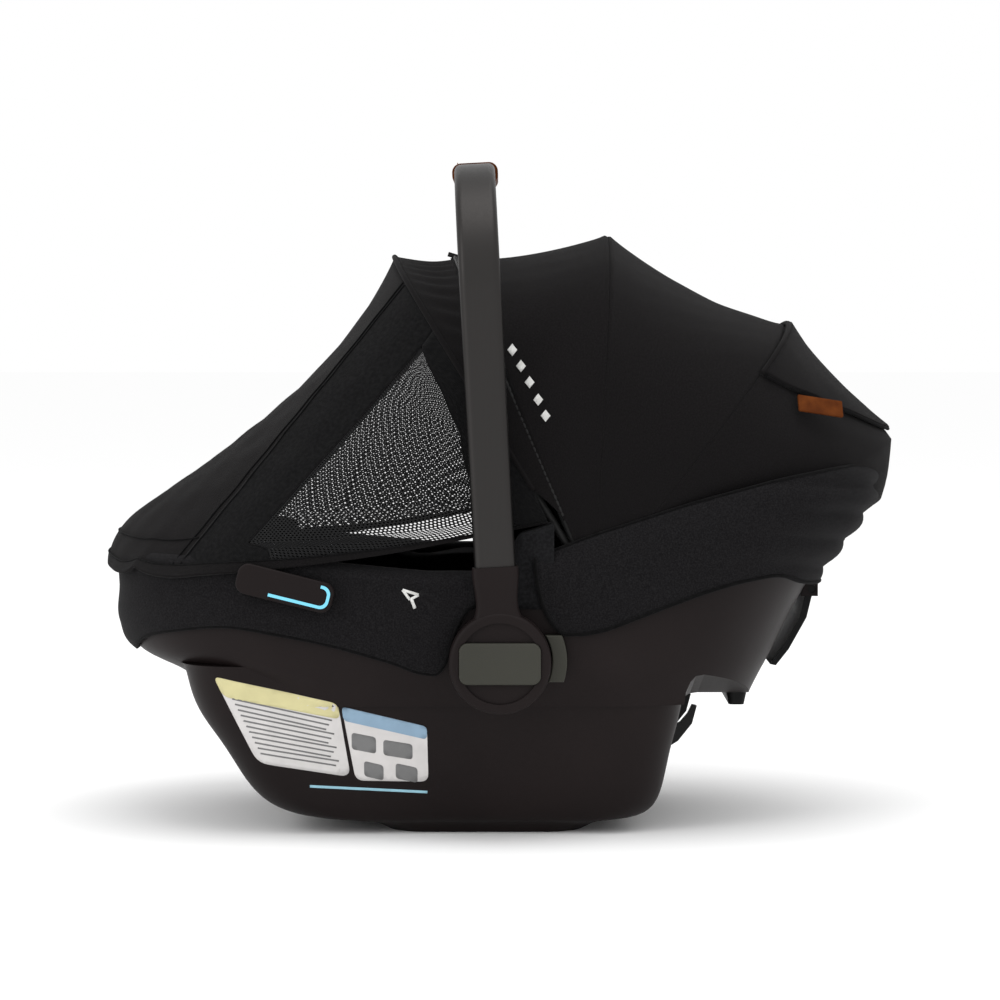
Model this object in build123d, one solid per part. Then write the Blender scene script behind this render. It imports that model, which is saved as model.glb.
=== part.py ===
from build123d import *
import os
from math import acos, asin, cos, degrees, hypot, pi, radians, sin

# Infant car seat: a rocker-bottomed carrier with a swinging carry handle, a folding canopy
# and a drop-down shade. Millimetres. X runs from the foot end (-X) to the head end (+X),
# Y is the width, +Z is up, and the origin is on the floor under the middle of the carrier.

# ---- driving dimensions ----
WALL = 3.5                      # moulded shell wall
BODY_HALF = 187                 # half width of the upper body at its rim
PIVOT_Z = 150                   # handle pivot height, the pivot axis is at X = 0
HUB_IN = 197.0                  # inner face of the hub covers
HUB_OUT = 216.5                 # outer face of the hub covers
HUB_R = 41.5
HUB_RECESS_R = 33
PIN_R = 6.0
RUN = 0.05                      # radial running clearance of pins
GAP = 0.4                       # clearance between neighbouring bodies
HANDLE_TOP = 558                # top of the grip above the floor
HANDLE_LEAN = -3.0              # degrees, towards the foot end
BOW_W = 33.5                    # handle tube width
BOW_T = 13.0                    # handle tube thickness
BOW_Y = 207.5                   # middle of the handle legs
BOW_CORNER_R = 95
SOCKET_TOP = 78                 # leg socket above the pivot
GRIP_W = 38.5
GRIP_T = 2.6
CANOPY_X, CANOPY_Z = 77, 207    # canopy pivot axis
CANOPY_HALF = 181.5             # half width of the canopy fabric
CANOPY_CORNER_R = 118
CANOPY_CROWN_R = 300
FABRIC_T = 1.6
FRONT_ANGLE, FRONT_R = -23, 293   # zipped front arch, degrees from vertical
SHADE_ANGLE, SHADE_R = -31.6, 320  # shade arch
MID_ANGLE, MID_R = 3, 291
REAR_ANGLE, REAR_R = 38, 271
TIP_ANGLE, TIP_R = 65, 285     # rear tip of the vent flap
TAIL_ANGLE, TAIL_R = 70, 273.5
STAY_R = 3.5                    # canopy stay rod radius
STAY_DROP = 9                   # stay centre line below the fabric
MID_EYE_Y = 163.5               # middle of the middle stay's pivot eye
CANOPY_PIN_R = 4.0

# Tub: height, foot end X, head end X, half width, plan corner radius.
TUB = [
    (0, -60, 40, 118, 30),
    (3.2, -100, 76, 126, 34),
    (10.5, -146, 108, 135, 38),
    (21, -190, 129, 143, 40),
    (50, -217, 138.5, 153, 42),
    (84, -238.5, 146, 161, 44),
    (116, -256, 152, 167, 46),
    (143, -265, 157, 172, 48),
]
# Upper body: flares out to the rim, with an overhang at both ends.
BODY = [
    (110, -249.5, 212, 168.8, 120),
    (124, -262, 219, 174.5, 128),
    (137, -282, 226, 180, 134),
    (150, -307, 233, 183, 140),
    (172, -318, 244, 185.5, 144),
    (199, -320, 259, BODY_HALF, 148),
    (226, -321, 277, BODY_HALF, 150),
    (253, -321.5, 297, BODY_HALF, 152),
    (280, -322, 313, BODY_HALF, 152),
    (307, -322, 323, BODY_HALF, 152),
]
# Underside of the rear overhang: distance from the middle and height.
UNDERSIDE = [(58, 109), (125, 127), (215, 151)]
# Seat hollow inside the foam.
HOLLOW = [
    (66, -88, 22, 92, 40),
    (105, -160, 78, 116, 60),
    (150, -222, 128, 134, 80),
    (195, -268, 172, 146, 92),
    (240, -292, 216, 154, 96),
    (310, -300, 284, 160, 100),
]
RIM = [(-340, 226), (-200, 226), (-60, 213), (10, 213), (60, 228), (200, 268), (340, 274)]
FOAM_T = 20
PAD_T = 12.5
SEAT_SLOPE = 45                 # recline of the back support, degrees
SEAT_FOOT = (34, 80)            # X and Z where the back support meets the seat base
INSERT_T = 28

os.makedirs("parts", exist_ok=True)
parts = {}


# ---- helpers ----
def keep(name, shape):
    """Store a sub-part as a plain compound of its solids."""
    solids = shape.solids()
    parts[name] = solids[0] if len(solids) == 1 else Compound(children=list(solids))


def keep_pair(name, shape):
    """Store a near-side sub-part and its mirror image as the left and right nodes."""
    keep(name + "_left", shape)
    keep(name + "_right", shape.mirror(Plane.XZ))


def side_plane(y):
    """Plane facing -Y whose axes are X and Z."""
    return Plane(origin=(0, y, 0), x_dir=(1, 0, 0), z_dir=(0, -1, 0))


def slab(sketch, y_low, y_high):
    """Side-view outline given a thickness in Y."""
    return extrude(side_plane(y_high) * sketch, amount=y_high - y_low)


def outline(*points):
    return make_face(Polyline(*points, close=True))


def rod_y(x, z, radius, y_low, y_high):
    return slab(Pos(x, z) * Circle(radius), y_low, y_high)


def bucket(stations, grow=0.0, lift=0.0):
    """Smooth closed bucket through horizontal rounded rectangles, grown or shrunk evenly."""
    faces = []
    for height, foot, head, half, corner in stations:
        section = RectangleRounded(head - foot + 2 * grow, 2 * (half + grow), corner + grow)
        faces.append(Pos((foot + head) / 2, 0, height + lift) * section)
    return loft(faces)


def slope_point(along, off):
    """X and Z of a point on the back support: distance up the slope and above it."""
    a = radians(SEAT_SLOPE)
    x0, z0 = SEAT_FOOT
    return x0 + along * cos(a) - off * sin(a), z0 + along * sin(a) + off * cos(a)


def leg_slope_point(along, off):
    """The same on the leg end of the seat hollow, which rises towards the foot end."""
    a = radians(144)
    return -147 + along * cos(a) + off * sin(a), 111 + along * sin(a) - off * cos(a)


def rim_height(x):
    """Height of the shell rim at X."""
    for (x0, z0), (x1, z1) in zip(RIM, RIM[1:]):
        if x <= x1:
            return z0 + (z1 - z0) * (x - x0) / (x1 - x0)
    return RIM[-1][1]


def arch_point(radius, u, low, corner_r=CANOPY_CORNER_R, half=CANOPY_HALF):
    """Point (y, height) on a three-centred arch, u from -1 to 1, legs ending at height low."""
    inset = half - corner_r
    swing = asin(inset / (CANOPY_CROWN_R - corner_r))
    h = radius - CANOPY_CROWN_R + (CANOPY_CROWN_R - corner_r) * cos(swing)
    crown = CANOPY_CROWN_R * min(swing, acos(1 - min((radius - low) / CANOPY_CROWN_R, 1)))
    corner = corner_r * max(acos(max(min((low - h) / corner_r, 1), 0)) - swing, 0)
    run = abs(u) * (crown + corner + max(h - low, 0))
    if run <= crown:
        a = run / CANOPY_CROWN_R
        y, z = CANOPY_CROWN_R * sin(a), radius - CANOPY_CROWN_R * (1 - cos(a))
    elif run <= crown + corner:
        a = swing + (run - crown) / corner_r
        y, z = inset + corner_r * sin(a), h + corner_r * cos(a)
    else:
        y, z = half, h - (run - crown - corner)
    return (y if u > 0 else -y), z


def lean(angle, y, reach):
    """Point at a reach from the canopy pivot axis, angle from vertical towards the head."""
    a = radians(angle)
    return CANOPY_X + reach * sin(a), y, CANOPY_Z + reach * cos(a)


def canopy_low(angle):
    """Reach of the canopy's lower edge, tucked inside the seat cover, at an angle."""
    reach = 36
    while lean(angle, 0, reach)[2] < rim_height(lean(angle, 0, reach)[0]) + 3:
        reach += 1
    return reach


def canopy_reach(angle):
    """Crown height of the canopy at an angle: taut between the stays, slightly slack."""
    stops = [(FRONT_ANGLE, FRONT_R), (MID_ANGLE, MID_R), (REAR_ANGLE, REAR_R),
             (TIP_ANGLE, TIP_R), (TAIL_ANGLE, TAIL_R)]
    for (a0, r0), (a1, r1) in zip(stops, stops[1:]):
        if angle <= a1:
            t = (angle - a0) / (a1 - a0)
            chord = cos(radians((a1 - a0) / 2)) / cos(radians(angle - (a0 + a1) / 2))
            return (r0 + (r1 - r0) * t) * (0.35 + 0.65 * chord)
    return TAIL_R


def canopy_shape(angle):
    """Corner radius and half width of the canopy arch: rounder and narrower at the tail."""
    q = min(max((angle - REAR_ANGLE) / (TAIL_ANGLE - REAR_ANGLE), 0), 1)
    return CANOPY_CORNER_R + 32 * q, CANOPY_HALF - 31 * q**2


def thin_sheet(grid, thickness):
    """Closed fabric panel: a smooth face through rows of points, given its thickness inwards."""
    face = Face.make_surface_from_array_of_points(grid, tol=0.05)
    middle = face.center()
    inwards = Vector(CANOPY_X, 0, CANOPY_Z) - middle
    sign = 1 if face.normal_at(middle).dot(inwards) > 0 else -1
    return Solid.thicken(face, sign * thickness)


def canopy_sheet(a0, a1):
    """Canopy panel between two angles."""
    steps, across = 8, 24
    grid = []
    for i in range(steps + 1):
        angle = a0 + (a1 - a0) * i / steps
        reach, low, shape = canopy_reach(angle), canopy_low(angle), canopy_shape(angle)
        row = [arch_point(reach, 2 * j / across - 1, low, *shape) for j in range(across + 1)]
        grid.append([lean(angle, y, r) for y, r in row])
    return thin_sheet(grid, FABRIC_T)


# ---- carrier shell and foam ----
def underside(lift):
    """Space under the rear overhang, curving up out of the tub's rear wall."""
    sections = []
    for y, z in [(-y, z) for y, z in UNDERSIDE[::-1]] + UNDERSIDE:
        z += lift
        wall = outline((150, 90), (260, 90), (260, z), (168, z), (161, z - 2), (156.5, z - 7),
                       (153, z - 15))
        sections.append(side_plane(y) * wall)
    return loft(sections, ruled=True)


TUB_TOP = TUB[-1][0]
tub_out = bucket(TUB) & Pos(0, 0, 250) * Box(900, 500, 500)
tub_space = Pos(0, 0, TUB_TOP / 2) * Box(900, 500, TUB_TOP - 2 * WALL)
tub_in = bucket(TUB, -WALL, WALL) & tub_space
body_out = bucket(BODY) - underside(0)
body_in = bucket(BODY, -WALL, 0) - underside(WALL)
above_rim = slab(make_face(Polyline(*RIM, (340, 400), (-340, 400), close=True)), -260, 260)
step_top = 110 + WALL
above_step = Pos(0, 0, step_top + 250) * Box(900, 500, 500)
shell = (tub_out + body_out) - tub_in - (body_in & above_step) - above_rim
for side in (-1, 1):
    shell -= rod_y(0, PIVOT_Z, 34.2, *sorted((side * 176, side * 200)))
tab_shape = (
    Circle(54.5) & Pos(48, 2) * Rectangle(24, 38)
) - Circle(HUB_R + 1)
for side in (-1, 1):
    pocket = offset(tab_shape, 0.5)
    shell -= slab(Pos(0, PIVOT_Z) * pocket, *sorted((side * 176, side * 190)))
for side in (-1, 1):
    shell -= rod_y(CANOPY_X, CANOPY_Z, CANOPY_PIN_R, *sorted((side * 176, side * 200)))
HOOK_Y, HOOK_T = 46, 9
LATCH_X, LATCH_Z = 134, 68
LATCH_ROD_R, LATCH_SPRING_R, LATCH_GAP = 4, 5.7, 0.5
for side in (-1, 1):
    slot = Pos(LATCH_X + 14, side * HOOK_Y, 76) * Box(40, HOOK_T + 2, 46)
    shell -= slot
shell -= rod_y(LATCH_X, LATCH_Z, LATCH_ROD_R + LATCH_GAP, -63, 63)
shell -= rod_y(LATCH_X, LATCH_Z, LATCH_SPRING_R + LATCH_GAP, 13, 35)
keep("carrier_shell", shell)

foam = bucket(TUB, -WALL - 0.5, WALL + 0.5) & Pos(0, 0, -0.5) * tub_space
foam += (bucket(BODY, -WALL - 0.5, 0) - underside(WALL + 0.5)) & Pos(0, 0, 0.5) * above_step
foam = (foam & bucket(HOLLOW, FOAM_T, -FOAM_T)) - bucket(HOLLOW)
foam -= Pos(0, 0, -8) * above_rim
foam -= Pos(LATCH_X - 4, 0, 76) * Box(46, 150, 74)
for side in (-1, 1):
    foam -= slab(outline((15, 165), (155, 165), (155, 420), (15, 420)),
                 *sorted((side * 156, side * 190)))
    foam -= slab(Pos(0, PIVOT_Z) * Circle(57), *sorted((side * 172, side * 190)))
keep("foam_liner", foam)

# ---- rear latch, lever and bumper ----
hook_shape = outline(
    (128, 62), (144, 62), (152, 67), (164, 82), (168, 97), (164, 98), (160, 90), (154, 83),
    (144, 78), (128, 76))
hooks = rod_y(LATCH_X, LATCH_Z, LATCH_ROD_R, -62, 62)
for side in (-1, 1):
    hooks += slab(hook_shape, side * HOOK_Y - HOOK_T / 2, side * HOOK_Y + HOOK_T / 2)
hooks += slab(outline((130, 68), (137, 68), (131.5, 92), (126, 92)), -4, 4)
keep("latch_hooks", hooks)

bracket = Pos(LATCH_X - 15, 0, LATCH_Z - 2) * Box(4, 126, 24)
for side in (-1, 1):
    bracket += Pos(LATCH_X, side * 60, LATCH_Z - 2) * Box(34, 6, 24)
bracket = bracket & bucket(TUB, -WALL - 0.1, WALL)
bracket -= rod_y(LATCH_X, LATCH_Z, LATCH_ROD_R + RUN, -70, 70)
keep("latch_bracket", bracket)

latch_spring = rod_y(LATCH_X, LATCH_Z, LATCH_SPRING_R, 14, 34)
latch_spring -= rod_y(LATCH_X, LATCH_Z, LATCH_ROD_R + LATCH_GAP, 10, 40)
keep("latch_spring", latch_spring)

bumper = extrude(Pos(202, 0, 98) * RectangleRounded(13, 96, 4), amount=11.9, taper=-12)
keep("rear_bumper", bumper)

LEVER_X, LEVER_Z = 266, 197
lever = slab(outline((262.5, 199), (268, 197), (262, 172), (247, 145), (236, 131), (231, 132),
                     (242, 147), (256, 172)), -42, 42)
lever += rod_y(LEVER_X, LEVER_Z, 3.5, -48, 48)
keep("release_lever", lever)
lugs = None
for side in (-1, 1):
    lug = slab(outline((259.5, 203), (271, 203), (271, 191), (256, 191)),
               side * 46 - 3.2, side * 46 + 3.2)
    lugs = lug if lugs is None else lugs + lug
lugs -= rod_y(LEVER_X, LEVER_Z, 3.5 + RUN, -60, 60)
lugs -= body_out
keep("lever_lugs", lugs)

# ---- handle: sockets, pins, hub covers, buttons, bow and grip ----
LEAN_AXIS = Axis((0, 0, PIVOT_Z), (0, 1, 0))
LOW, HIGH = -HUB_OUT, -HUB_IN
socket = rod_y(0, PIVOT_Z, 34, HIGH + GAP, -180.6)
socket -= rod_y(0, PIVOT_Z, PIN_R, -220, -170)
keep_pair("hub_socket", socket)
keep_pair("handle_pivot", rod_y(0, PIVOT_Z, PIN_R, -203, -179) +
          rod_y(0, PIVOT_Z, 9, -180.6, -178.6))

button_plan = RectangleRounded(66, 33.6, 7)
hub = rod_y(0, PIVOT_Z, HUB_R, LOW, HIGH)
hub = fillet(hub.edges().filter_by(GeomType.CIRCLE).group_by(Axis.Y)[0], 4)
neck = loft([
    Pos(0, -206.8, PIVOT_Z + 30) * RectangleRounded(50, 17, 5),
    Pos(0, -206.8, PIVOT_Z + 42) * RectangleRounded(35.5, 17, 5),
    Pos(0, -207.2, PIVOT_Z + 56) * RectangleRounded(34.5, 17, 5),
    Pos(0, -207.5, PIVOT_Z + SOCKET_TOP) * RectangleRounded(37, 17, 5),
])
hub += neck
hub += extrude(Pos(0, -BOW_Y, PIVOT_Z + SOCKET_TOP - 6) * RectangleRounded(29, 8.6, 3.8), amount=30)
hub = hub.rotate(LEAN_AXIS, HANDLE_LEAN)
hub -= rod_y(0, PIVOT_Z, HUB_RECESS_R, -220, -213.7)
hub -= slab(Pos(0, PIVOT_Z) * offset(button_plan, 0.4), -220, -206)
hub -= rod_y(0, PIVOT_Z, PIN_R + RUN, -210, -190)
keep_pair("hub_cover", hub)

button = slab(Pos(0, PIVOT_Z) * button_plan, -219.6, -210)
button = fillet(button.faces().sort_by(Axis.Y)[0].edges(), 1.6)
keep_pair("handle_button", button)
coil = Helix(pitch=2.1, height=5.4, radius=4.4)
wire = sweep(Plane(coil @ 0, z_dir=coil % 0) * Circle(0.55), path=coil)
spring = Pos(0, -203.7, PIVOT_Z) * Rot(90, 0, 0) * wire
keep_pair("button_spring", spring)

GRIP_TOP = (HANDLE_TOP - PIVOT_Z) / cos(radians(HANDLE_LEAN)) + PIVOT_Z
BOW_MID = GRIP_TOP - GRIP_T - BOW_T / 2
bow_path = FilletPolyline(
    (0, -BOW_Y, PIVOT_Z + SOCKET_TOP + 0.1), (0, -BOW_Y, BOW_MID), (0, BOW_Y, BOW_MID),
    (0, BOW_Y, PIVOT_Z + SOCKET_TOP + 0.1), radius=BOW_CORNER_R)
bow_start = Plane(origin=bow_path @ 0, x_dir=(1, 0, 0), z_dir=(0, 0, 1))
bow = sweep(bow_start * RectangleRounded(BOW_W, BOW_T, 5.6), path=bow_path)
bow -= sweep(bow_start * RectangleRounded(BOW_W - 3.6, BOW_T - 3.6, 3.8), path=bow_path)
keep("handle_bow", bow.rotate(LEAN_AXIS, HANDLE_LEAN))

grip_face = RectangleRounded(GRIP_W, BOW_T + 2 * GRIP_T, 7.6)
grip_face -= RectangleRounded(BOW_W + 0.2, BOW_T + 0.2, 5.7)
grip = extrude(Plane(origin=(0, 74, BOW_MID), x_dir=(1, 0, 0), z_dir=(0, -1, 0)) * grip_face,
               amount=148)
keep("handle_grip", grip.rotate(LEAN_AXIS, HANDLE_LEAN))

tab = slab(Pos(0, PIVOT_Z) * tab_shape, -195.5, -180.8)
tab = fillet(tab.faces().sort_by(Axis.Y)[0].edges(), 1.2)
keep_pair("release_tab", tab)

# ---- seat cover skirts ----
skirt = bucket(BODY, 5.6) - bucket(BODY, 0.5)
skirt = skirt & Pos(0, 0, 240) * Box(900, 500, 260)
foot_side = outline(
    (-345, 146), (-322, 148), (-297, 164), (-226, 177), (-137, 162), (-88, 148), (-56, 138),
    (-47, 142), (-45, 158), (-44, 185), (-44, 223), (-60, 222), (-150, 222), (-200, 218),
    (-230, 213), (-345, 213))
GUIDE = Pos(-174, 210) * Rot(0, 0, -14)     # belt guide centre and tilt, in side view
stem_plan = GUIDE * Pos(0, -8) * Rectangle(60, 5)
foot_cover = skirt & slab(foot_side, -230, 230)
keep("foot_cover", foot_cover - slab(offset(stem_plan, 0.3), -230, 230))
head_skirt = bucket(BODY, 7.4) - bucket(BODY, 0.5)
head_side = outline(
    (350, 281), (326, 283), (300, 290), (280, 303), (240, 300), (202, 291), (121, 267), (74, 251),
    (29, 234), (31, 205), (50, 173), (81, 174), (145, 197), (210, 215), (255, 211), (350, 205))
keep("head_cover", head_skirt & slab(head_side, -230, 230))

# ---- belt guides on the foot cover ----
guide = slab(GUIDE * RectangleRounded(80, 25, 9), -202.5, -198)
guide = fillet(guide.faces().sort_by(Axis.Y)[0].edges(), 1.5)
guide += slab(stem_plan, -198.5, -187.6)
keep_pair("belt_guide", guide)
accent_ring = RectangleRounded(74, 19, 7) - RectangleRounded(69, 14, 5)
accent_ring &= Pos(14, -8) * Rectangle(52, 10) + Pos(36, 0) * Rectangle(16, 30)
keep_pair("guide_accent", slab(GUIDE * accent_ring, -203.1, -202.5))

# ---- seat pad, insert, head support ----
pad_hollow = bucket(HOLLOW, -PAD_T, 6)
pad = (bucket(HOLLOW, -0.5) - pad_hollow) - Pos(0, 0, 6) * above_rim
band = (bucket(BODY) - pad_hollow) & Pos(0, 0, 0.4) * above_rim - Pos(0, 0, 6) * above_rim
band -= (bucket(BODY, 5) - bucket(BODY, -29)) & Pos(215, 0, 250) * Box(400, 500, 200)
foot_top = Pos(-290, 0, 244.5) * Box(110, 500, 31)    # room under the shade at the foot end
keep("seat_pad", pad + band - foot_top)


def slope_outline(*points):
    return outline(*[slope_point(*p) for p in points])


back_part = slab(slope_outline((8, 1), (236, 1), (246, 12), (236, INSERT_T), (30, INSERT_T + 2),
                               (8, 20)), -84, 84)
base_part = slab(outline((-60, 76), (14, 76), (40, 92), (24, 102), (0, 96), (-52, 94), (-62, 86)),
                 -62, 62)
insert = back_part + base_part
insert = insert & bucket(HOLLOW, -PAD_T - 0.6, 6.6)
keep("infant_insert", insert)
slope_normal = Vector(-sin(radians(SEAT_SLOPE)), 0, cos(radians(SEAT_SLOPE)))
slope_foot = Vector(SEAT_FOOT[0], 0, SEAT_FOOT[1])
horseshoe = Pos(0, 186) * Circle(84) + Pos(0, 158) * Rectangle(168, 56)
horseshoe -= Pos(0, 182) * Circle(55) + Pos(0, 140) * Rectangle(110, 90)
support_plane = Plane(slope_foot + slope_normal * (INSERT_T + 3), x_dir=(0, -1, 0),
                      z_dir=slope_normal)
support = extrude(support_plane * horseshoe, amount=40) & bucket(HOLLOW, -PAD_T - 1, 7)
support -= Pos(0, 0, -6) * above_rim
keep("head_support", support)

# ---- harness ----
STRAP_OFF = INSERT_T + 5        # webbing height above the back support


def strap(points, y, width, thick=1.8):
    """Webbing that follows side-view points, centred at y."""
    ribbon = offset(Polyline(*points), thick / 2, side=Side.BOTH)
    return slab(make_face(ribbon), y - width / 2, y + width / 2)


for name, side in (("left", -1), ("right", 1)):
    run = [slope_point(a, STRAP_OFF + o) for a, o in ((150, -2), (110, 0), (70, 4), (42, 9))]
    web = strap(run, side * 34, 30)
    keep(f"shoulder_strap_{name}", web)
    pad_side = slope_outline((82, 32.5), (140, 30), (147, 34), (141, 40.5), (82, 44), (76, 39))
    strap_pad = slab(pad_side, side * 34 - 21, side * 34 + 21)
    keep(f"strap_pad_{name}", strap_pad - strap(run, side * 34, 31, 2.4))
    hip = outline((-26, 128), (2, 121), (4, 124), (-25, 131))
    keep(f"hip_strap_{name}", slab(hip, *sorted((side * 19, side * 92))))
clip = slab(slope_outline((52, 43), (68, 40.5), (70, 46), (52, 49)), -52, 52)
keep("chest_clip", clip)
buckle = slab(slope_outline((0, 35), (38, 36), (38, 47), (0, 46)), -18, 18)
buckle_well = slab(slope_outline((8, 40), (30, 41), (30, 52), (8, 52)), -9, 9)
keep("buckle", buckle - buckle_well)
keep("buckle_button", slab(slope_outline((8.4, 43), (29.6, 44), (29.6, 48.6), (8.4, 48)),
                           -8.6, 8.6))
keep("crotch_strap", slab(outline((-20, 97), (-17, 97), (3.5, 104), (2, 107)), -17, 17))


def leg_outline(*points):
    return outline(*[leg_slope_point(*p) for p in points])


keep("adjuster_strap", slab(leg_outline((-8, 1.8), (24, 1.2), (24, 3), (-8, 3.6)), -13, 13))
adjuster = slab(leg_outline((26, 1), (70, 1), (68, 12), (28, 12)), -22, 22)
keep("adjuster_housing", adjuster - slab(leg_outline((34, 5), (62, 5), (62, 20), (34, 20)), -14, 14))
keep("adjuster_button", slab(leg_outline((34.4, 8.4), (61.6, 8.4), (60, 14), (36, 14)),
                             -13.6, 13.6))

# ---- canopy stays and pivots ----
def stay(angle, radius, eye_y, low):
    """Round stay rod parallel to the fabric arch, its feet set in towards their eyes."""
    half = CANOPY_HALF - STAY_DROP
    corner_r = CANOPY_CORNER_R - STAY_DROP
    crown_r = CANOPY_CROWN_R - STAY_DROP
    swing = asin((half - corner_r) / (crown_r - corner_r))
    top = radius - STAY_DROP
    h = top - crown_r + (crown_r - corner_r) * cos(swing)
    leg = [(eye_y, low), (eye_y, 58), (half, 112), (half, h)]
    if eye_y == half:
        leg = [(half, low), (half, h)]
    legs = []
    for side in (-1, 1):
        points = [(side * y, z) for y, z in leg]
        legs += [Polyline(*points) if len(points) == 2 else FilletPolyline(*points, radius=40)]
    spread = degrees(swing)
    arcs = [
        CenterArc((-(half - corner_r), h), corner_r, 90 + spread, 90 - spread),
        CenterArc((0, top - crown_r), crown_r, 90 - spread, 2 * spread),
        CenterArc((half - corner_r, h), corner_r, 0, 90 - spread),
    ]
    a = radians(angle)
    plane = Plane(origin=(CANOPY_X, 0, CANOPY_Z), x_dir=(0, 1, 0), z_dir=(cos(a), 0, -sin(a)))
    path = plane * Wire([e for part in legs + arcs for e in part.edges()])
    return sweep(Plane(origin=path @ 0, z_dir=path % 0) * Circle(STAY_R), path=path)


EYE_R, EYE_T = 12, 3.8          # pivot eyes: radius, half thickness
FRONT_EYE_Y = CANOPY_HALF - STAY_DROP
eye_foot = EYE_R - 4
front = stay(FRONT_ANGLE, FRONT_R, FRONT_EYE_Y, eye_foot)
front += stay(SHADE_ANGLE, SHADE_R, FRONT_EYE_Y, eye_foot)
middle = stay(MID_ANGLE, MID_R, MID_EYE_Y, eye_foot)
for side in (-1, 1):
    def eye(y):
        ring = rod_y(CANOPY_X, CANOPY_Z, EYE_R, side * y - EYE_T, side * y + EYE_T)
        return ring, rod_y(CANOPY_X, CANOPY_Z, CANOPY_PIN_R + RUN, side * y - 9, side * y + 9)
    ring, bore = eye(FRONT_EYE_Y)
    front = front + ring - bore
    ring, bore = eye(MID_EYE_Y)
    middle = middle + ring - bore
keep("front_stays", front)
keep("middle_stay", middle)
keep("rear_stay", stay(REAR_ANGLE, REAR_R, FRONT_EYE_Y, 52))
mount_pin = rod_y(CANOPY_X, CANOPY_Z, CANOPY_PIN_R, -186.5, -158.5)
mount_pin += rod_y(CANOPY_X, CANOPY_Z, 7, -159.3, -157.3)
keep_pair("canopy_pivot", mount_pin)

# ---- canopy and shade fabric ----
keep("canopy_front_panel", canopy_sheet(FRONT_ANGLE, MID_ANGLE))
keep("canopy_middle_panel", canopy_sheet(MID_ANGLE + 0.4, REAR_ANGLE))
keep("canopy_rear_panel", canopy_sheet(REAR_ANGLE + 0.4, TAIL_ANGLE))

FLAP_LIFT = 5                   # vent flap above the canopy
FLAP_T = 2.2


def flap_low(angle):
    """Reach of the vent flap's straight side edge at an angle."""
    a = radians(angle)
    return 224.3 / (cos(a) + 0.4 * sin(a))


grid = []
for i in range(9):
    angle = REAR_ANGLE + 0.6 + (63 - REAR_ANGLE) * i / 8
    reach, shape = canopy_reach(angle), canopy_shape(angle)
    row = [arch_point(reach, j / 12 - 1, flap_low(angle), *shape) for j in range(25)]
    grid.append([lean(angle, y, r + FLAP_LIFT) for y, r in row])
keep("vent_flap", thin_sheet(grid, FLAP_T))

SHADE_LOW = 95                  # reach where the shade's side ends on its arch
HEM_TIP_X = -331
HEM_BULGE, HEM_BULGE_Y = 4.5, 75   # the foot tip stands out this far, over this half width
HEM_HALF = 197
HEM_CORNER_R = 158
HEM_END = (42, 183)             # plan X and Y of the hem's end
HEM_Z = [
    (-335, 240), (-325, 235), (-314, 228), (-300, 221), (-274, 217), (-244, 220), (-162, 228),
    (-81, 239), (-33, 248), (42, 262)]
SEAM_ARCH = 0.325               # double seam, as a share of the arch and of the hem
SEAM_HEM = 0.385
SEAM = 0.36
SHADE_BEZIER = [(-90.5, 479), (-150, 385), (-300, 275), (-335, 240)]


def hem_height(x):
    for (x0, z0), (x1, z1) in zip(HEM_Z, HEM_Z[1:]):
        if x <= x1:
            return z0 + (z1 - z0) * (x - x0) / (x1 - x0)
    return HEM_Z[-1][1]


def hem_point(s):
    """Hem of the shade around the foot end, s from -1 to 1, 0 at the foot tip."""
    flat = HEM_HALF - HEM_CORNER_R
    arc = HEM_CORNER_R * pi / 2
    x_side = HEM_TIP_X + HEM_CORNER_R
    side = hypot(HEM_END[0] - x_side, HEM_HALF - HEM_END[1])
    run = abs(s) * (flat + arc + side)
    if run <= flat:
        x, y = HEM_TIP_X, run
    elif run <= flat + arc:
        a = (run - flat) / HEM_CORNER_R
        x = x_side - HEM_CORNER_R * cos(a)
        y = flat + HEM_CORNER_R * sin(a)
    else:
        t = (run - flat - arc) / side
        x = x_side + (HEM_END[0] - x_side) * t
        y = HEM_HALF + (HEM_END[1] - HEM_HALF) * t
    x -= HEM_BULGE * max(1 - (y / HEM_BULGE_Y) ** 2, 0)
    return x, (y if s > 0 else -y), hem_height(x)


def share(p, mid):
    """Spread p so that the seam, at SEAM, lands at a share of mid."""
    q = abs(p)
    v = q * mid / SEAM if q <= SEAM else mid + (q - SEAM) * (1 - mid) / (1 - SEAM)
    return v if p > 0 else -v


def shade_point(p, t):
    """Shade surface: p across from -1 to 1, t down from the arch to the hem."""
    y, reach = arch_point(SHADE_R, share(p, SEAM_ARCH), SHADE_LOW)
    top, low = lean(SHADE_ANGLE, y, reach), hem_point(share(p, SEAM_HEM))
    b0, b1, b2, b3 = SHADE_BEZIER
    slack = max(1 - (p / SEAM) ** 2, 0)
    point = []
    for k, c in ((0, 0), (1, None), (2, 1)):
        value = top[k] + (low[k] - top[k]) * t
        if c is not None:
            bend = 3 * (1 - t) ** 2 * t * (b1[c] - b0[c]) + 3 * (1 - t) * t**2 * (b2[c] - b0[c])
            bend += (t**3 - t) * (b3[c] - b0[c])
            value += slack * bend
        point.append(value)
    return tuple(point)


def shade_sheet(p0, p1, across):
    rows, gap = 14, 0.012
    grid = []
    for i in range(rows + 1):
        t = gap + (1 - gap) * i / rows
        grid.append([shade_point(p0 + (p1 - p0) * j / across, t) for j in range(across + 1)])
    return thin_sheet(grid, FABRIC_T)


keep("shade_panel", shade_sheet(-SEAM + 0.003, SEAM - 0.003, 16))
keep("shade_mesh_left", shade_sheet(-1, -SEAM - 0.003, 12))
keep("shade_mesh_right", shade_sheet(SEAM + 0.003, 1, 12))

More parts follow.
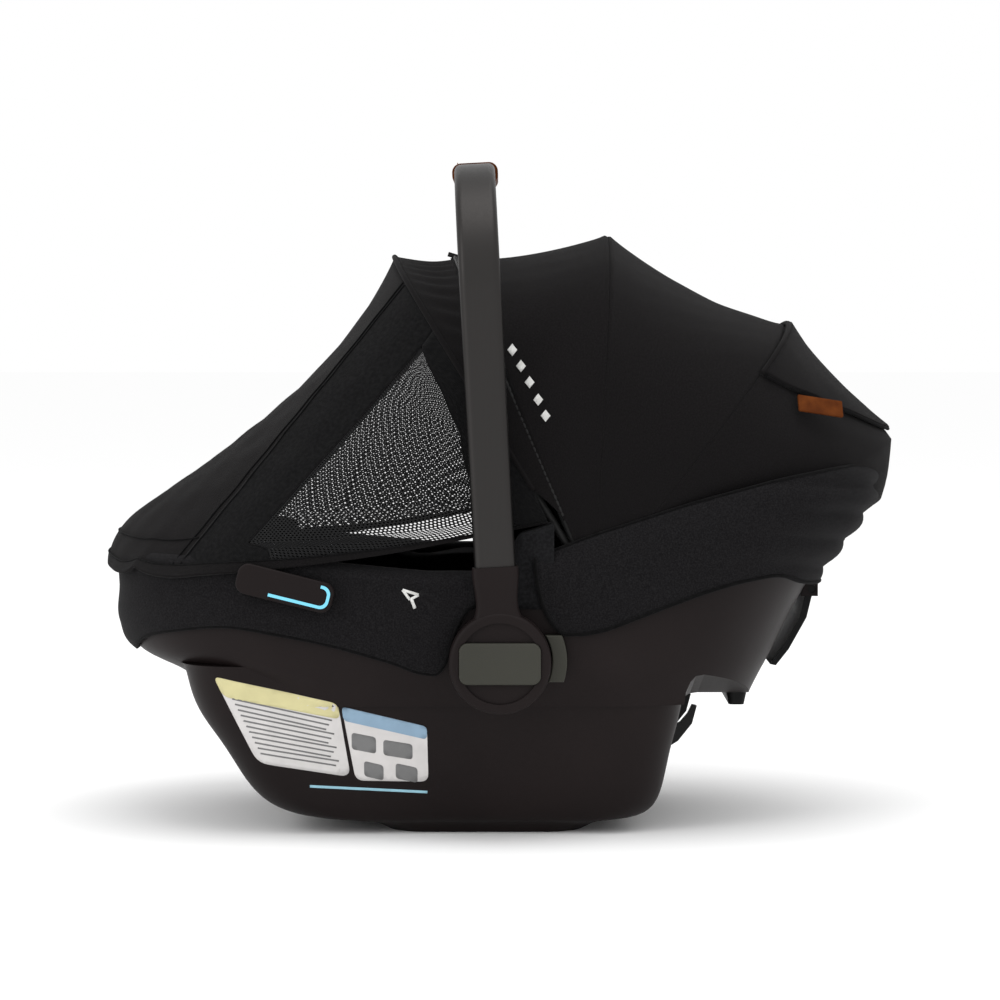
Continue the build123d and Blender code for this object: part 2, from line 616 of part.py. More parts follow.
# band between the shade arch and the zipped front arch, sagging between them
grid = []
for i in range(5):
    t = 0.03 + 0.94 * i / 4
    angle = SHADE_ANGLE + (FRONT_ANGLE - SHADE_ANGLE) * t
    reach = SHADE_R + (FRONT_R - SHADE_R) * t - 5 * sin(pi * t)
    row = [arch_point(reach, j / 12 - 1, 80) for j in range(25)]
    grid.append([lean(angle, y, r) for y, r in row])
keep("shade_header", thin_sheet(grid, FABRIC_T))

slider_x, _, slider_z = lean(FRONT_ANGLE, 0, FRONT_R + 2.4)
slider = Pos(slider_x, 0, slider_z) * Rot(0, FRONT_ANGLE, 0) * Box(8, 12, 3)
slider += Pos(slider_x - 1, 0, slider_z + 2) * Rot(0, FRONT_ANGLE - 50, 0) * Box(4, 6, 11)
keep("zip_slider", slider)

# leather tag on the side edge of the vent flap
tag_low = [lean(a, *arch_point(canopy_reach(a), -1, flap_low(a), *canopy_shape(a)))
           for a in (47.3, 54.8)]
(tx0, ty0, tz0), (tx1, ty1, tz1) = tag_low
tag_plane = Plane(origin=((tx0 + tx1) / 2, (ty0 + ty1) / 2 - 8.5, (tz0 + tz1) / 2),
                  x_dir=(tx1 - tx0, ty1 - ty0, tz1 - tz0), z_dir=(0.35, -0.8, 0.5))
keep("leather_tag", extrude(tag_plane * Pos(0, -3, 1.6) * RectangleRounded(40, 15, 1), amount=1.6))

for name, shape in parts.items():
    export_step(shape, f"parts/{name}.step")
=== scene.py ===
"""Looks of an infant car seat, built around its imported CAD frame.

Lengths are written in millimetres and scaled to metres when a mesh is made. X runs from the foot
end (-X) to the head end (+X), Y is the width (left side at -Y), +Z is up.
"""

import math

import bmesh
import bpy
import numpy as np
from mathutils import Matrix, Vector
from mathutils.bvhtree import BVHTree


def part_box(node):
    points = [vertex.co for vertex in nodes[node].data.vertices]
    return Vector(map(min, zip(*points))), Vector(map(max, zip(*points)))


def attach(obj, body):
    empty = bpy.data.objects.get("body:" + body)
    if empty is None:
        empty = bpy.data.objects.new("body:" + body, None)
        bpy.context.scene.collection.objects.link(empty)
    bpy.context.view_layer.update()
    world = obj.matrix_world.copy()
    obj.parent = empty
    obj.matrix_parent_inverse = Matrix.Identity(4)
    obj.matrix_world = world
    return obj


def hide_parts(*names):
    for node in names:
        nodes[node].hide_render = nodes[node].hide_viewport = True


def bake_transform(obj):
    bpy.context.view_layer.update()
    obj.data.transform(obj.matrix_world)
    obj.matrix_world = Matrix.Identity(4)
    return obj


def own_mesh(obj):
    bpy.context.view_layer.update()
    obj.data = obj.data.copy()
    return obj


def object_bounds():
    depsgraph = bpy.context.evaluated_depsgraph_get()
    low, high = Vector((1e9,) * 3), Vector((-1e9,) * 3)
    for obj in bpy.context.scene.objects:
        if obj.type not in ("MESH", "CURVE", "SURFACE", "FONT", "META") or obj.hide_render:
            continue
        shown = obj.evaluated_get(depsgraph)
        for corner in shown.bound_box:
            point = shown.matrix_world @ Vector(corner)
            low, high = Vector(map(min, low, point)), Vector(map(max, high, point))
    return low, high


MM = 0.001

# ---- driving dimensions, the same as the CAD part's ----
CANOPY_X, CANOPY_Z = 77, 207
CANOPY_HALF = 181.5
CANOPY_CORNER_R = 118
CANOPY_CROWN_R = 300
FRONT_ANGLE, FRONT_R = -23, 293
SHADE_ANGLE, SHADE_R = -31.6, 320
MID_ANGLE, MID_R = 3, 291
REAR_ANGLE, REAR_R = 38, 271
TIP_ANGLE, TIP_R = 65, 285
TAIL_ANGLE, TAIL_R = 70, 273.5
FABRIC_T = 1.2
CANOPY_SAG = 1.75    # how far the cloth dips between its stays, as a share of the chord's dip
# Upper body of the shell: height, foot end X, head end X, half width, corner radius.
BODY = [
    (110, -249.5, 212, 168.8, 120),
    (124, -262, 219, 174.5, 128),
    (137, -282, 226, 180, 134),
    (150, -307, 233, 183, 140),
    (172, -318, 244, 185.5, 144),
    (199, -320, 259, 187, 148),
    (226, -321, 277, 187, 150),
    (253, -321.5, 297, 187, 152),
    (280, -322, 313, 187, 152),
    (307, -322, 323, 187, 152),
]
RIM = [(-340, 226), (-200, 226), (-60, 213), (10, 213), (60, 228), (200, 268), (340, 274)]

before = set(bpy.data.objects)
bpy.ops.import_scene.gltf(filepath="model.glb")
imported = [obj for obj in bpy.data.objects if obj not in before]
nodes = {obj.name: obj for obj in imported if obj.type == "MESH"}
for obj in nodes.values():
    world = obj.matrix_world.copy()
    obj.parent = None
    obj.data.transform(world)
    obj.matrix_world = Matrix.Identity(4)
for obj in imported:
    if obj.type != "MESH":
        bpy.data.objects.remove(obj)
cad_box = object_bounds()


# ---- curves and surfaces ----
def smooth_interp(x, table, column=1):
    """Catmull-Rom value through the rows of a table, its first column rising."""
    xs = np.array([row[0] for row in table], float)
    ys = np.array([row[column] for row in table], float)
    slopes = np.gradient(ys, xs)
    x = np.clip(np.asarray(x, float), xs[0], xs[-1])
    i = np.clip(np.searchsorted(xs, x) - 1, 0, len(xs) - 2)
    h = xs[i + 1] - xs[i]
    t = (x - xs[i]) / h
    a = (1 + 2 * t) * (1 - t) ** 2 * ys[i] + t**2 * (3 - 2 * t) * ys[i + 1]
    return a + h * (t * (1 - t) ** 2 * slopes[i] - t**2 * (1 - t) * slopes[i + 1])


def line_interp(x, table):
    return np.interp(x, [row[0] for row in table], [row[1] for row in table])


def arch_point(radius, u, low, corner_r=CANOPY_CORNER_R, half=CANOPY_HALF):
    """Point (y, height) on a three-centred arch, u from -1 to 1, legs ending at height low."""
    inset = half - corner_r
    swing = math.asin(inset / (CANOPY_CROWN_R - corner_r))
    h = radius - CANOPY_CROWN_R + (CANOPY_CROWN_R - corner_r) * math.cos(swing)
    reach_down = math.acos(1 - min((radius - low) / CANOPY_CROWN_R, 1))
    crown = CANOPY_CROWN_R * min(swing, reach_down)
    corner = corner_r * max(math.acos(max(min((low - h) / corner_r, 1), 0)) - swing, 0)
    run = abs(u) * (crown + corner + max(h - low, 0))
    if run <= crown:
        a = run / CANOPY_CROWN_R
        y, z = CANOPY_CROWN_R * math.sin(a), radius - CANOPY_CROWN_R * (1 - math.cos(a))
    elif run <= crown + corner:
        a = swing + (run - crown) / corner_r
        y, z = inset + corner_r * math.sin(a), h + corner_r * math.cos(a)
    else:
        y, z = half, h - (run - crown - corner)
    return math.copysign(y, u), z


def lean(angle, y, reach):
    """Point at a reach from the canopy pivot axis, angle from vertical towards the head."""
    a = math.radians(angle)
    return CANOPY_X + reach * math.sin(a), y, CANOPY_Z + reach * math.cos(a)


def canopy_low(angle):
    """Reach of the canopy's lower edge, tucked inside the seat cover, at an angle."""
    reach = 36
    while True:
        x, _, z = lean(angle, 0, reach)
        if z >= line_interp(x, RIM) + 3:
            return reach
        reach += 1


def canopy_reach(angle):
    """Crown height of the canopy at an angle: it dips between the stays."""
    stops = [(FRONT_ANGLE, FRONT_R), (MID_ANGLE, MID_R), (REAR_ANGLE, REAR_R),
             (TIP_ANGLE, TIP_R), (TAIL_ANGLE, TAIL_R)]
    for (a0, r0), (a1, r1) in zip(stops, stops[1:]):
        if angle <= a1:
            t = (angle - a0) / (a1 - a0)
            half_turn = math.radians((a1 - a0) / 2)
            chord = math.cos(half_turn) / math.cos(math.radians(angle - (a0 + a1) / 2))
            return (r0 + (r1 - r0) * t) * (1 - CANOPY_SAG * (1 - chord))
    return TAIL_R


def canopy_shape(angle):
    """Corner radius and half width of the canopy arch: rounder and narrower at the tail."""
    q = min(max((angle - REAR_ANGLE) / (TAIL_ANGLE - REAR_ANGLE), 0), 1)
    return CANOPY_CORNER_R + 32 * q, CANOPY_HALF - 31 * q**2


def canopy_point(angle, u, lift=0.0):
    y, reach = arch_point(canopy_reach(angle), u, canopy_low(angle), *canopy_shape(angle))
    return lean(angle, y, reach + lift)


def canopy_curve(angle, lift=0.0, count=97):
    return [canopy_point(angle, u, lift) for u in np.linspace(-1, 1, count)]


def body_skin(centres, directions, heights, grow):
    """Points where level rays leave the shell's outline grown by grow."""
    foot, head, half, corner = (smooth_interp(heights, BODY, k) for k in (1, 2, 3, 4))
    middle = (foot + head) / 2
    near, far = np.zeros(len(heights)), np.full(len(heights), 480.0)
    for _ in range(40):
        r = (near + far) / 2
        x = np.abs(centres[:, 0] + directions[:, 0] * r - middle)
        y = np.abs(centres[:, 1] + directions[:, 1] * r)
        dx = x - ((head - foot) / 2 - corner)
        dy = y - (half - corner)
        outside = np.hypot(np.maximum(dx, 0), np.maximum(dy, 0))
        distance = outside + np.minimum(np.maximum(dx, dy), 0) - corner
        inside = distance < grow
        near, far = np.where(inside, r, near), np.where(inside, far, r)
    r = (near + far) / 2
    return np.column_stack((centres + directions * r[:, None], heights))


def waves(x, y, seed):
    """Smooth seeded unevenness between about -1 and 1, for lengths in millimetres."""
    rng = np.random.default_rng(seed)
    total = np.zeros(np.broadcast(x, y).shape)
    for k in range(9):
        a = rng.uniform(0, 2 * math.pi)
        length = rng.uniform(24, 110)
        phase = rng.uniform(0, 2 * math.pi)
        total += np.sin((x * math.cos(a) + y * math.sin(a)) * 2 * math.pi / length + phase) / 4.5
    return total


# ---- meshes ----
def mesh_object(name, points, faces, material, uvs=None):
    """Smooth mesh object from points in millimetres."""
    data = bpy.data.meshes.new(name)
    data.from_pydata([tuple(p) for p in np.asarray(points, float) * MM], [], faces)
    data.polygons.foreach_set("use_smooth", [True] * len(data.polygons))
    if uvs is not None:
        layer = data.uv_layers.new(name="UVMap")
        corner_vertex = np.zeros(len(data.loops), int)
        data.loops.foreach_get("vertex_index", corner_vertex)
        layer.data.foreach_set("uv", (np.asarray(uvs, float)[corner_vertex] * MM).ravel())
    data.update()
    piece = bpy.data.objects.new(name, data)
    bpy.context.scene.collection.objects.link(piece)
    data.materials.append(material)
    return piece


def bake_modifiers(piece):
    """Applies the modifiers on a piece to its mesh."""
    depsgraph = bpy.context.evaluated_depsgraph_get()
    data = bpy.data.meshes.new_from_object(piece.evaluated_get(depsgraph))
    piece.modifiers.clear()
    old = piece.data
    piece.data = data
    bpy.data.meshes.remove(old)
    return piece


def grid_faces(rows, columns, loop=False):
    wide = columns if loop else columns - 1
    faces = []
    for i in range(rows - 1):
        for j in range(wide):
            k = (j + 1) % columns
            faces.append((i * columns + j, i * columns + k, (i + 1) * columns + k, (i + 1) * columns + j))
    return faces


def arc_lengths(grid):
    """Cloth coordinates of a grid: distance across each row from its middle, and along."""
    grid = np.asarray(grid, float)
    across = np.linalg.norm(np.diff(grid, axis=1), axis=2)
    u = np.concatenate([np.zeros((len(grid), 1)), np.cumsum(across, axis=1)], axis=1)
    u -= u[:, [u.shape[1] // 2]]
    along = np.linalg.norm(np.diff(grid, axis=0), axis=2).mean(axis=1)
    v = np.concatenate([[0], np.cumsum(along)])
    return np.dstack((u, np.repeat(v[:, None], grid.shape[1], axis=1))).reshape(-1, 2)


def grid_area(grid):
    """Area of a grid in square metres."""
    grid = np.asarray(grid, float) * MM
    a = grid[1:, 1:] - grid[:-1, :-1]
    b = grid[1:, :-1] - grid[:-1, 1:]
    return float(np.linalg.norm(np.cross(a, b), axis=2).sum() / 2)


def cloth_piece(name, grid, material, thickness=FABRIC_T, offset=-1.0):
    """Cloth of an even thickness through a grid of points."""
    grid = np.asarray(grid, float)
    rows, columns = grid.shape[:2]
    piece = mesh_object(name, grid.reshape(-1, 3), grid_faces(rows, columns), material,
                        arc_lengths(grid))
    solid = piece.modifiers.new("thickness", "SOLIDIFY")
    solid.thickness = thickness * MM
    solid.offset = offset
    return bake_modifiers(piece)


def tube(name, path, radius, material, sides=8, flatten=1.0):
    """Round cord along a path, its ends closed."""
    path = np.asarray(path, float)
    count = len(path)
    tangent = np.gradient(path, axis=0)
    tangent /= np.linalg.norm(tangent, axis=1)[:, None]
    side = np.cross(tangent[0], (0.31, 0.17, 0.93))
    points, radii = [], np.broadcast_to(radius, count)
    for i in range(count):
        side = side - tangent[i] * np.dot(side, tangent[i])
        side /= np.linalg.norm(side)
        up = np.cross(tangent[i], side)
        for k in range(sides):
            a = 2 * math.pi * k / sides
            points.append(path[i] + radii[i] * (math.cos(a) * side + flatten * math.sin(a) * up))
    faces = grid_faces(count, sides, loop=True)
    faces.append(tuple(reversed(range(sides))))
    faces.append(tuple(range((count - 1) * sides, count * sides)))
    return mesh_object(name, points, faces, material)


def resample(path, step):
    """Points along a path an even distance apart."""
    path = np.asarray(path, float)
    run = np.concatenate([[0], np.cumsum(np.linalg.norm(np.diff(path, axis=0), axis=1))])
    count = max(int(run[-1] / step), 2)
    marks = np.linspace(0, run[-1], count)
    return np.column_stack([np.interp(marks, run, path[:, k]) for k in range(3)])


def stitches(name, path, material, pitch=4.4, length=3.0, radius=0.42):
    """Row of thread stitches along a path."""
    points, faces = [], []
    path = resample(path, pitch / 4)
    for i in range(0, len(path) - 3, 4):
        a, b = path[i], path[i + 3]
        axis = (b - a) / np.linalg.norm(b - a)
        side = np.cross(axis, (0.3, 0.2, 0.93))
        side /= np.linalg.norm(side)
        up = np.cross(axis, side)
        middle = (a + b) / 2
        base = len(points)
        for along, wide in ((-0.5, 0.3), (-0.3, 1), (0.3, 1), (0.5, 0.3)):
            for k in range(5):
                turn = 2 * math.pi * k / 5
                around = math.cos(turn) * side + math.sin(turn) * up
                points.append(middle + axis * along * length + around * wide * radius)
        for ring in range(3):
            for k in range(5):
                n = (k + 1) % 5
                first = base + ring * 5
                faces.append((first + k, first + n, first + 5 + n, first + 5 + k))
        faces.append(tuple(base + k for k in reversed(range(5))))
        faces.append(tuple(base + 15 + k for k in range(5)))
    return mesh_object(name, points, faces, material)


def node_copy(node, name, material):
    """Free copy of a CAD node's mesh."""
    piece = nodes[node].copy()
    piece.data = nodes[node].data.copy()
    piece.name = name
    piece.parent = None
    for key in list(piece.keys()):
        del piece[key]
    piece.hide_render = False
    bpy.context.scene.collection.objects.link(piece)
    piece.data.materials.clear()
    piece.data.materials.append(material)
    return piece


def surface_tree(piece):
    data = piece.data
    vertices = [v.co.copy() for v in data.vertices]
    return BVHTree.FromPolygons(vertices, [tuple(p.vertices) for p in data.polygons])


def stick(name, outlines, tree, lift, thickness, material, cuts=5):
    """Thin flat shapes, given as X-Z outlines, laid on the left side of a surface."""
    mesh = bmesh.new()
    for shape in outlines:
        corners = [mesh.verts.new((x * MM, -0.4, z * MM)) for x, z in shape]
        mesh.faces.new(corners)
    bmesh.ops.triangulate(mesh, faces=mesh.faces[:])
    for _ in range(cuts):
        long_edges = [e for e in mesh.edges if e.calc_length() > 0.007]
        if not long_edges:
            break
        bmesh.ops.subdivide_edges(mesh, edges=long_edges, cuts=1)
        bmesh.ops.triangulate(mesh, faces=[f for f in mesh.faces if len(f.verts) > 3])
    for v in mesh.verts:
        hit, normal, _, _ = tree.ray_cast(v.co, Vector((0, 1, 0)))
        if hit is not None:
            normal = normal if normal.y < 0 else -normal
            v.co = hit + normal * lift * MM
    bmesh.ops.recalc_face_normals(mesh, faces=mesh.faces[:])
    front = sum(f.normal.y for f in mesh.faces)
    if front > 0:
        bmesh.ops.reverse_faces(mesh, faces=mesh.faces[:])
    data = bpy.data.meshes.new(name)
    mesh.to_mesh(data)
    mesh.free()
    data.polygons.foreach_set("use_smooth", [True] * len(data.polygons))
    piece = bpy.data.objects.new(name, data)
    bpy.context.scene.collection.objects.link(piece)
    data.materials.append(material)
    solid = piece.modifiers.new("thickness", "SOLIDIFY")
    solid.thickness = thickness * MM
    solid.offset = 1.0
    return bake_modifiers(piece)


def rounded(corners, radius, steps=5):
    """Outline with each corner cut by an arc-like curve."""
    out = []
    corners = [np.array(c, float) for c in corners]
    for k, c in enumerate(corners):
        before, after = corners[k - 1], corners[(k + 1) % len(corners)]
        a = c + (before - c) / np.linalg.norm(before - c) * radius
        b = c + (after - c) / np.linalg.norm(after - c) * radius
        for i in range(steps + 1):
            t = i / steps
            out.append(tuple((1 - t) ** 2 * a + 2 * t * (1 - t) * c + t**2 * b))
    return out


def bar(start, end, width):
    """Rectangle outline along a line."""
    a, b = np.array(start, float), np.array(end, float)
    d = (b - a) / np.linalg.norm(b - a)
    n = np.array((-d[1], d[0])) * width / 2
    return [tuple(a - n), tuple(b - n), tuple(b + n), tuple(a + n)]


# ---- materials ----
def new_material(name, color, roughness, **sockets):
    material = bpy.data.materials.new(name)
    material.use_nodes = True
    tree = material.node_tree
    shader = tree.nodes["Principled BSDF"]
    shader.inputs["Base Color"].default_value = (*color, 1)
    shader.inputs["Roughness"].default_value = roughness
    for socket, value in sockets.items():
        shader.inputs[socket.replace("_", " ").title().replace("Ior", "IOR")].default_value = value
    return material, tree, shader


def add_node(tree, kind, links=None, **settings):
    """Adds a node; settings with a name in capitals set its input of that name."""
    node = tree.nodes.new(kind)
    for key, value in settings.items():
        if key[0].isupper():
            node.inputs[key.replace("_", " ")].default_value = value
        else:
            setattr(node, key, value)
    for socket, source in (links or {}).items():
        tree.links.new(source, node.inputs[socket])
    return node


def mottle(tree, shader, vector, dark, light, scale, detail=3.0, low=0.35, high=0.68):
    """Base colour that varies between two colours at a scale per metre."""
    noise = add_node(tree, "ShaderNodeTexNoise", {"Vector": vector}, Scale=scale, Detail=detail)
    ramp = add_node(tree, "ShaderNodeValToRGB", {"Fac": noise.outputs["Fac"]})
    ramp.color_ramp.elements[0].position = low
    ramp.color_ramp.elements[0].color = (*dark, 1)
    ramp.color_ramp.elements[1].position = high
    ramp.color_ramp.elements[1].color = (*light, 1)
    tree.links.new(ramp.outputs["Color"], shader.inputs["Base Color"])
    return noise


def bump(tree, shader, height, strength, distance_mm):
    node = add_node(tree, "ShaderNodeBump", {"Height": height}, Strength=strength,
                    Distance=distance_mm * MM)
    tree.links.new(node.outputs["Normal"], shader.inputs["Normal"])


def moulded(name, dark, light, roughness, grain=900, specular=0.14):
    """Moulded plastic with a fine grain and faint flow marks."""
    material, tree, shader = new_material(name, dark, roughness, specular_ior_level=specular)
    vector = add_node(tree, "ShaderNodeTexCoord").outputs["Object"]
    mottle(tree, shader, vector, dark, light, 6.0)
    fine = add_node(tree, "ShaderNodeTexNoise", {"Vector": vector}, Scale=grain, Detail=2.0)
    bump(tree, shader, fine.outputs["Fac"], 0.35, 0.25)
    patch = add_node(tree, "ShaderNodeTexNoise", {"Vector": vector}, Scale=14.0, Detail=4.0)
    spread = add_node(tree, "ShaderNodeMapRange", {"Value": patch.outputs["Fac"]},
                      To_Min=roughness - 0.06, To_Max=roughness + 0.08)
    tree.links.new(spread.outputs["Result"], shader.inputs["Roughness"])
    return material


def woven(name, dark, light, pitch_mm, coords="UV", heather=260.0, sheen=0.03, twill=0.0,
          depth=0.35, roughness=0.92):
    """Woven cloth: crossing yarns, uneven dye, soft sheen."""
    material, tree, shader = new_material(
        name, dark, roughness, specular_ior_level=0.05, sheen_weight=sheen,
        sheen_roughness=0.45)
    vector = add_node(tree, "ShaderNodeTexCoord").outputs[coords]
    mottle(tree, shader, vector, dark, light, heather, 4.0, 0.38, 0.72)
    turn = add_node(tree, "ShaderNodeMapping", {"Vector": vector})
    turn.inputs["Rotation"].default_value = (0, 0, twill)
    per_metre = 1000 / pitch_mm / 2 / math.pi
    warp = add_node(tree, "ShaderNodeTexWave", {"Vector": turn.outputs["Vector"]},
                    bands_direction="X", Scale=per_metre * 3.14, Distortion=0.6)
    weft = add_node(tree, "ShaderNodeTexWave", {"Vector": turn.outputs["Vector"]},
                    bands_direction="Y" if coords == "UV" else "Z", Scale=per_metre * 3.14,
                    Distortion=0.6)
    both = add_node(tree, "ShaderNodeMath", {0: warp.outputs["Fac"], 1: weft.outputs["Fac"]},
                    operation="MULTIPLY")
    soft = add_node(tree, "ShaderNodeTexNoise", {"Vector": vector}, Scale=420.0, Detail=3.0)
    height = add_node(tree, "ShaderNodeMath", {0: both.outputs[0], 1: soft.outputs["Fac"]},
                      operation="ADD")
    bump(tree, shader, height.outputs[0], 0.6, depth)
    return material


def netting(name, color, pitch_mm, open_from):
    """Open net of hexagonal holes."""
    material, tree, shader = new_material(name, color, 0.8, specular_ior_level=0.15,
                                          sheen_weight=0.03)
    vector = add_node(tree, "ShaderNodeTexCoord").outputs["UV"]
    split = add_node(tree, "ShaderNodeSeparateXYZ", {"Vector": vector})
    turn = 2 * math.pi / (pitch_mm * MM) * 2 / math.sqrt(3)
    total = None
    for angle in (0, 60, 120):
        a = math.radians(angle)
        x = add_node(tree, "ShaderNodeMath", {0: split.outputs["X"]}, operation="MULTIPLY")
        x.inputs[1].default_value = turn * math.cos(a)
        y = add_node(tree, "ShaderNodeMath", {0: split.outputs["Y"]}, operation="MULTIPLY")
        y.inputs[1].default_value = turn * math.sin(a)
        both = add_node(tree, "ShaderNodeMath", {0: x.outputs[0], 1: y.outputs[0]}, operation="ADD")
        wave = add_node(tree, "ShaderNodeMath", {0: both.outputs[0]}, operation="COSINE")
        if total is None:
            total = wave
        else:
            total = add_node(tree, "ShaderNodeMath", {0: total.outputs[0], 1: wave.outputs[0]},
                             operation="ADD")
    threads = add_node(tree, "ShaderNodeMapRange", {"Value": total.outputs[0]}, From_Min=-1.5,
                       From_Max=3.0)
    cover = add_node(tree, "ShaderNodeMapRange", {"Value": threads.outputs["Result"]},
                     From_Min=open_from - 0.04, From_Max=open_from + 0.04, To_Min=1.0, To_Max=0.0)
    tree.links.new(cover.outputs["Result"], shader.inputs["Alpha"])
    bump(tree, shader, threads.outputs["Result"], 0.5, 0.3)
    return material


def leather_material(name, dark, light):
    material, tree, shader = new_material(name, dark, 0.6, specular_ior_level=0.06)
    vector = add_node(tree, "ShaderNodeTexCoord").outputs["Object"]
    mottle(tree, shader, vector, dark, light, 90.0, 5.0)
    cells = add_node(tree, "ShaderNodeTexVoronoi", {"Vector": vector}, Scale=900.0,
                     feature="DISTANCE_TO_EDGE")
    bump(tree, shader, cells.outputs["Distance"], 0.5, 0.3)
    return material


def metal(name, color, roughness, stretch=(1, 1, 1)):
    """Metal with fine brushed lines along the axis that stretch leaves long."""
    material, tree, shader = new_material(name, color, roughness, metallic=1.0)
    vector = add_node(tree, "ShaderNodeTexCoord").outputs["Object"]
    scaled = add_node(tree, "ShaderNodeMapping", {"Vector": vector})
    scaled.inputs["Scale"].default_value = stretch
    lines = add_node(tree, "ShaderNodeTexNoise", {"Vector": scaled.outputs["Vector"]},
                     Scale=600.0, Detail=3.0)
    spread = add_node(tree, "ShaderNodeMapRange", {"Value": lines.outputs["Fac"]},
                      To_Min=roughness - 0.07, To_Max=roughness + 0.1)
    tree.links.new(spread.outputs["Result"], shader.inputs["Roughness"])
    bump(tree, shader, lines.outputs["Fac"], 0.15, 0.1)
    return material


def printed(name, color):
    """Printed film with a faint ink variation."""
    dark = tuple(0.9 * c for c in color)
    material, tree, shader = new_material(name, color, 0.42, specular_ior_level=0.35)
    vector = add_node(tree, "ShaderNodeTexCoord").outputs["Object"]
    mottle(tree, shader, vector, dark, color, 60.0)
    return material


SHELL = moulded("shell_plastic", (0.0082, 0.0056, 0.0056), (0.0115, 0.0080, 0.0079), 0.48, specular=0.10)
BLACK = moulded("black_plastic", (0.006, 0.006, 0.0062), (0.009, 0.009, 0.0092), 0.48, specular=0.10)
GREEN_GREY = moulded("green_grey_plastic", (0.034, 0.034, 0.0275), (0.041, 0.0405, 0.033), 0.5)
CYAN = moulded("accent_blue", (0.19, 0.62, 0.80), (0.22, 0.66, 0.84), 0.35, 300)
MELANGE = woven("melange_fabric", (0.0058, 0.0055, 0.0060), (0.0150, 0.0144, 0.0153), 1.3,
                "Object", 850.0)
CANOPY = woven("canopy_fabric", (0.0058, 0.0052, 0.0054), (0.0096, 0.0088, 0.0091), 1.1,
               heather=700.0, twill=0.6)
PAD = woven("pad_fabric", (0.008, 0.008, 0.0086), (0.016, 0.016, 0.0172), 1.4, "Object", 400.0)
INSERT = woven("insert_fabric", (0.022, 0.022, 0.0235), (0.040, 0.040, 0.043), 1.4, "Object",
               500.0)
NET = netting("mesh_fabric", (0.007, 0.007, 0.0073), 2.3, 0.52)
DENSE_NET = woven("dense_net", (0.0042, 0.0042, 0.0044), (0.0085, 0.0084, 0.0087), 1.7,
                  heather=300.0, twill=0.79)
WEBBING = woven("webbing", (0.009, 0.009, 0.0094), (0.015, 0.015, 0.0157), 1.9, "Object",
                300.0, depth=0.5, roughness=0.7)
PIPING = woven("piping_fabric", (0.0035, 0.0034, 0.0036), (0.0065, 0.0063, 0.0066), 0.9, "Object")
LEATHER = leather_material("leather", (0.066, 0.0150, 0.0016), (0.112, 0.029, 0.0040))
THREAD = new_material("thread_brown", (0.30, 0.13, 0.045), 0.7)[0]
DARK_THREAD = woven("thread_black", (0.004, 0.004, 0.004), (0.007, 0.007, 0.007), 0.5, "Object")
BOW = metal("anodised_bow", (0.038, 0.036, 0.035), 0.42, (1, 1, 0.05))
STEEL = metal("steel", (0.5, 0.5, 0.5), 0.35)
BLACK_METAL = moulded("black_metal", (0.012, 0.012, 0.012), (0.016, 0.016, 0.016), 0.38)
FOAM = moulded("foam", (0.03, 0.03, 0.03), (0.04, 0.04, 0.04), 0.9, 300)
WHITE_THREAD = woven("white_print", (0.62, 0.62, 0.60), (0.8, 0.8, 0.78), 0.9, "Object")
LABEL_WHITE = printed("label_white", (0.62, 0.60, 0.59))
LABEL_YELLOW = printed("label_yellow", (0.62, 0.57, 0.30))
LABEL_BLUE = printed("label_blue", (0.24, 0.36, 0.48))
LABEL_GREY = printed("label_grey", (0.16, 0.16, 0.16))
LABEL_LINE = printed("label_light_blue", (0.30, 0.55, 0.66))

NODE_MATERIALS = {
    SHELL: ["carrier_shell", "hub_socket", "hub_cover", "belt_guide", "lever_lugs"],
    BLACK: ["rear_bumper", "release_lever", "latch_bracket", "chest_clip", "buckle",
            "adjuster_housing"],
    GREEN_GREY: ["handle_button", "release_tab", "buckle_button", "adjuster_button"],
    CYAN: ["guide_accent"],
    BOW: ["handle_bow"],
    LEATHER: ["handle_grip"],
    STEEL: ["handle_pivot", "canopy_pivot", "latch_spring", "button_spring"],
    BLACK_METAL: ["front_stays", "middle_stay", "rear_stay", "zip_slider",
                  "latch_hooks"],
    FOAM: ["foam_liner"],
    WEBBING: ["shoulder_strap", "hip_strap", "crotch_strap", "adjuster_strap"],
    CANOPY: ["shade_panel", "shade_header", "canopy_front_panel", "canopy_middle_panel",
             "canopy_rear_panel", "vent_flap"],
    NET: ["shade_mesh"],
    MELANGE: ["foot_cover", "head_cover"],
    PAD: ["seat_pad", "strap_pad"],
    INSERT: ["infant_insert", "head_support"],
}
for material, stems in NODE_MATERIALS.items():
    for stem in stems:
        for name, node in nodes.items():
            if name == stem or name in (stem + "_left", stem + "_right"):
                node.data.materials.clear()
                node.data.materials.append(material)


def on_canopy(piece):
    """Cloth from the rear stay forwards, its placement baked into its mesh."""
    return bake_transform(piece)


def seam_dip(angle):
    """Small groove of the two seams that run over the stays, with its turned allowances."""
    total = 0.0
    for seam in (MID_ANGLE, REAR_ANGLE):
        d = (angle - seam) * 4.9
        total += 0.9 * math.exp(-(d / 5.0) ** 2) - 2.6 * math.exp(-(d / 1.1) ** 2)
    return total


def seam_stations():
    """Canopy angles, closer together by the seams."""
    angles = list(np.arange(FRONT_ANGLE, TAIL_ANGLE + 0.01, 1.5))
    for seam in (MID_ANGLE, REAR_ANGLE):
        angles = [a for a in angles if abs(a - seam) > 1.3]
        angles += [seam + d for d in (-1.2, -0.8, -0.45, -0.22, 0, 0.22, 0.45, 0.8, 1.2)]
    return sorted(angles)


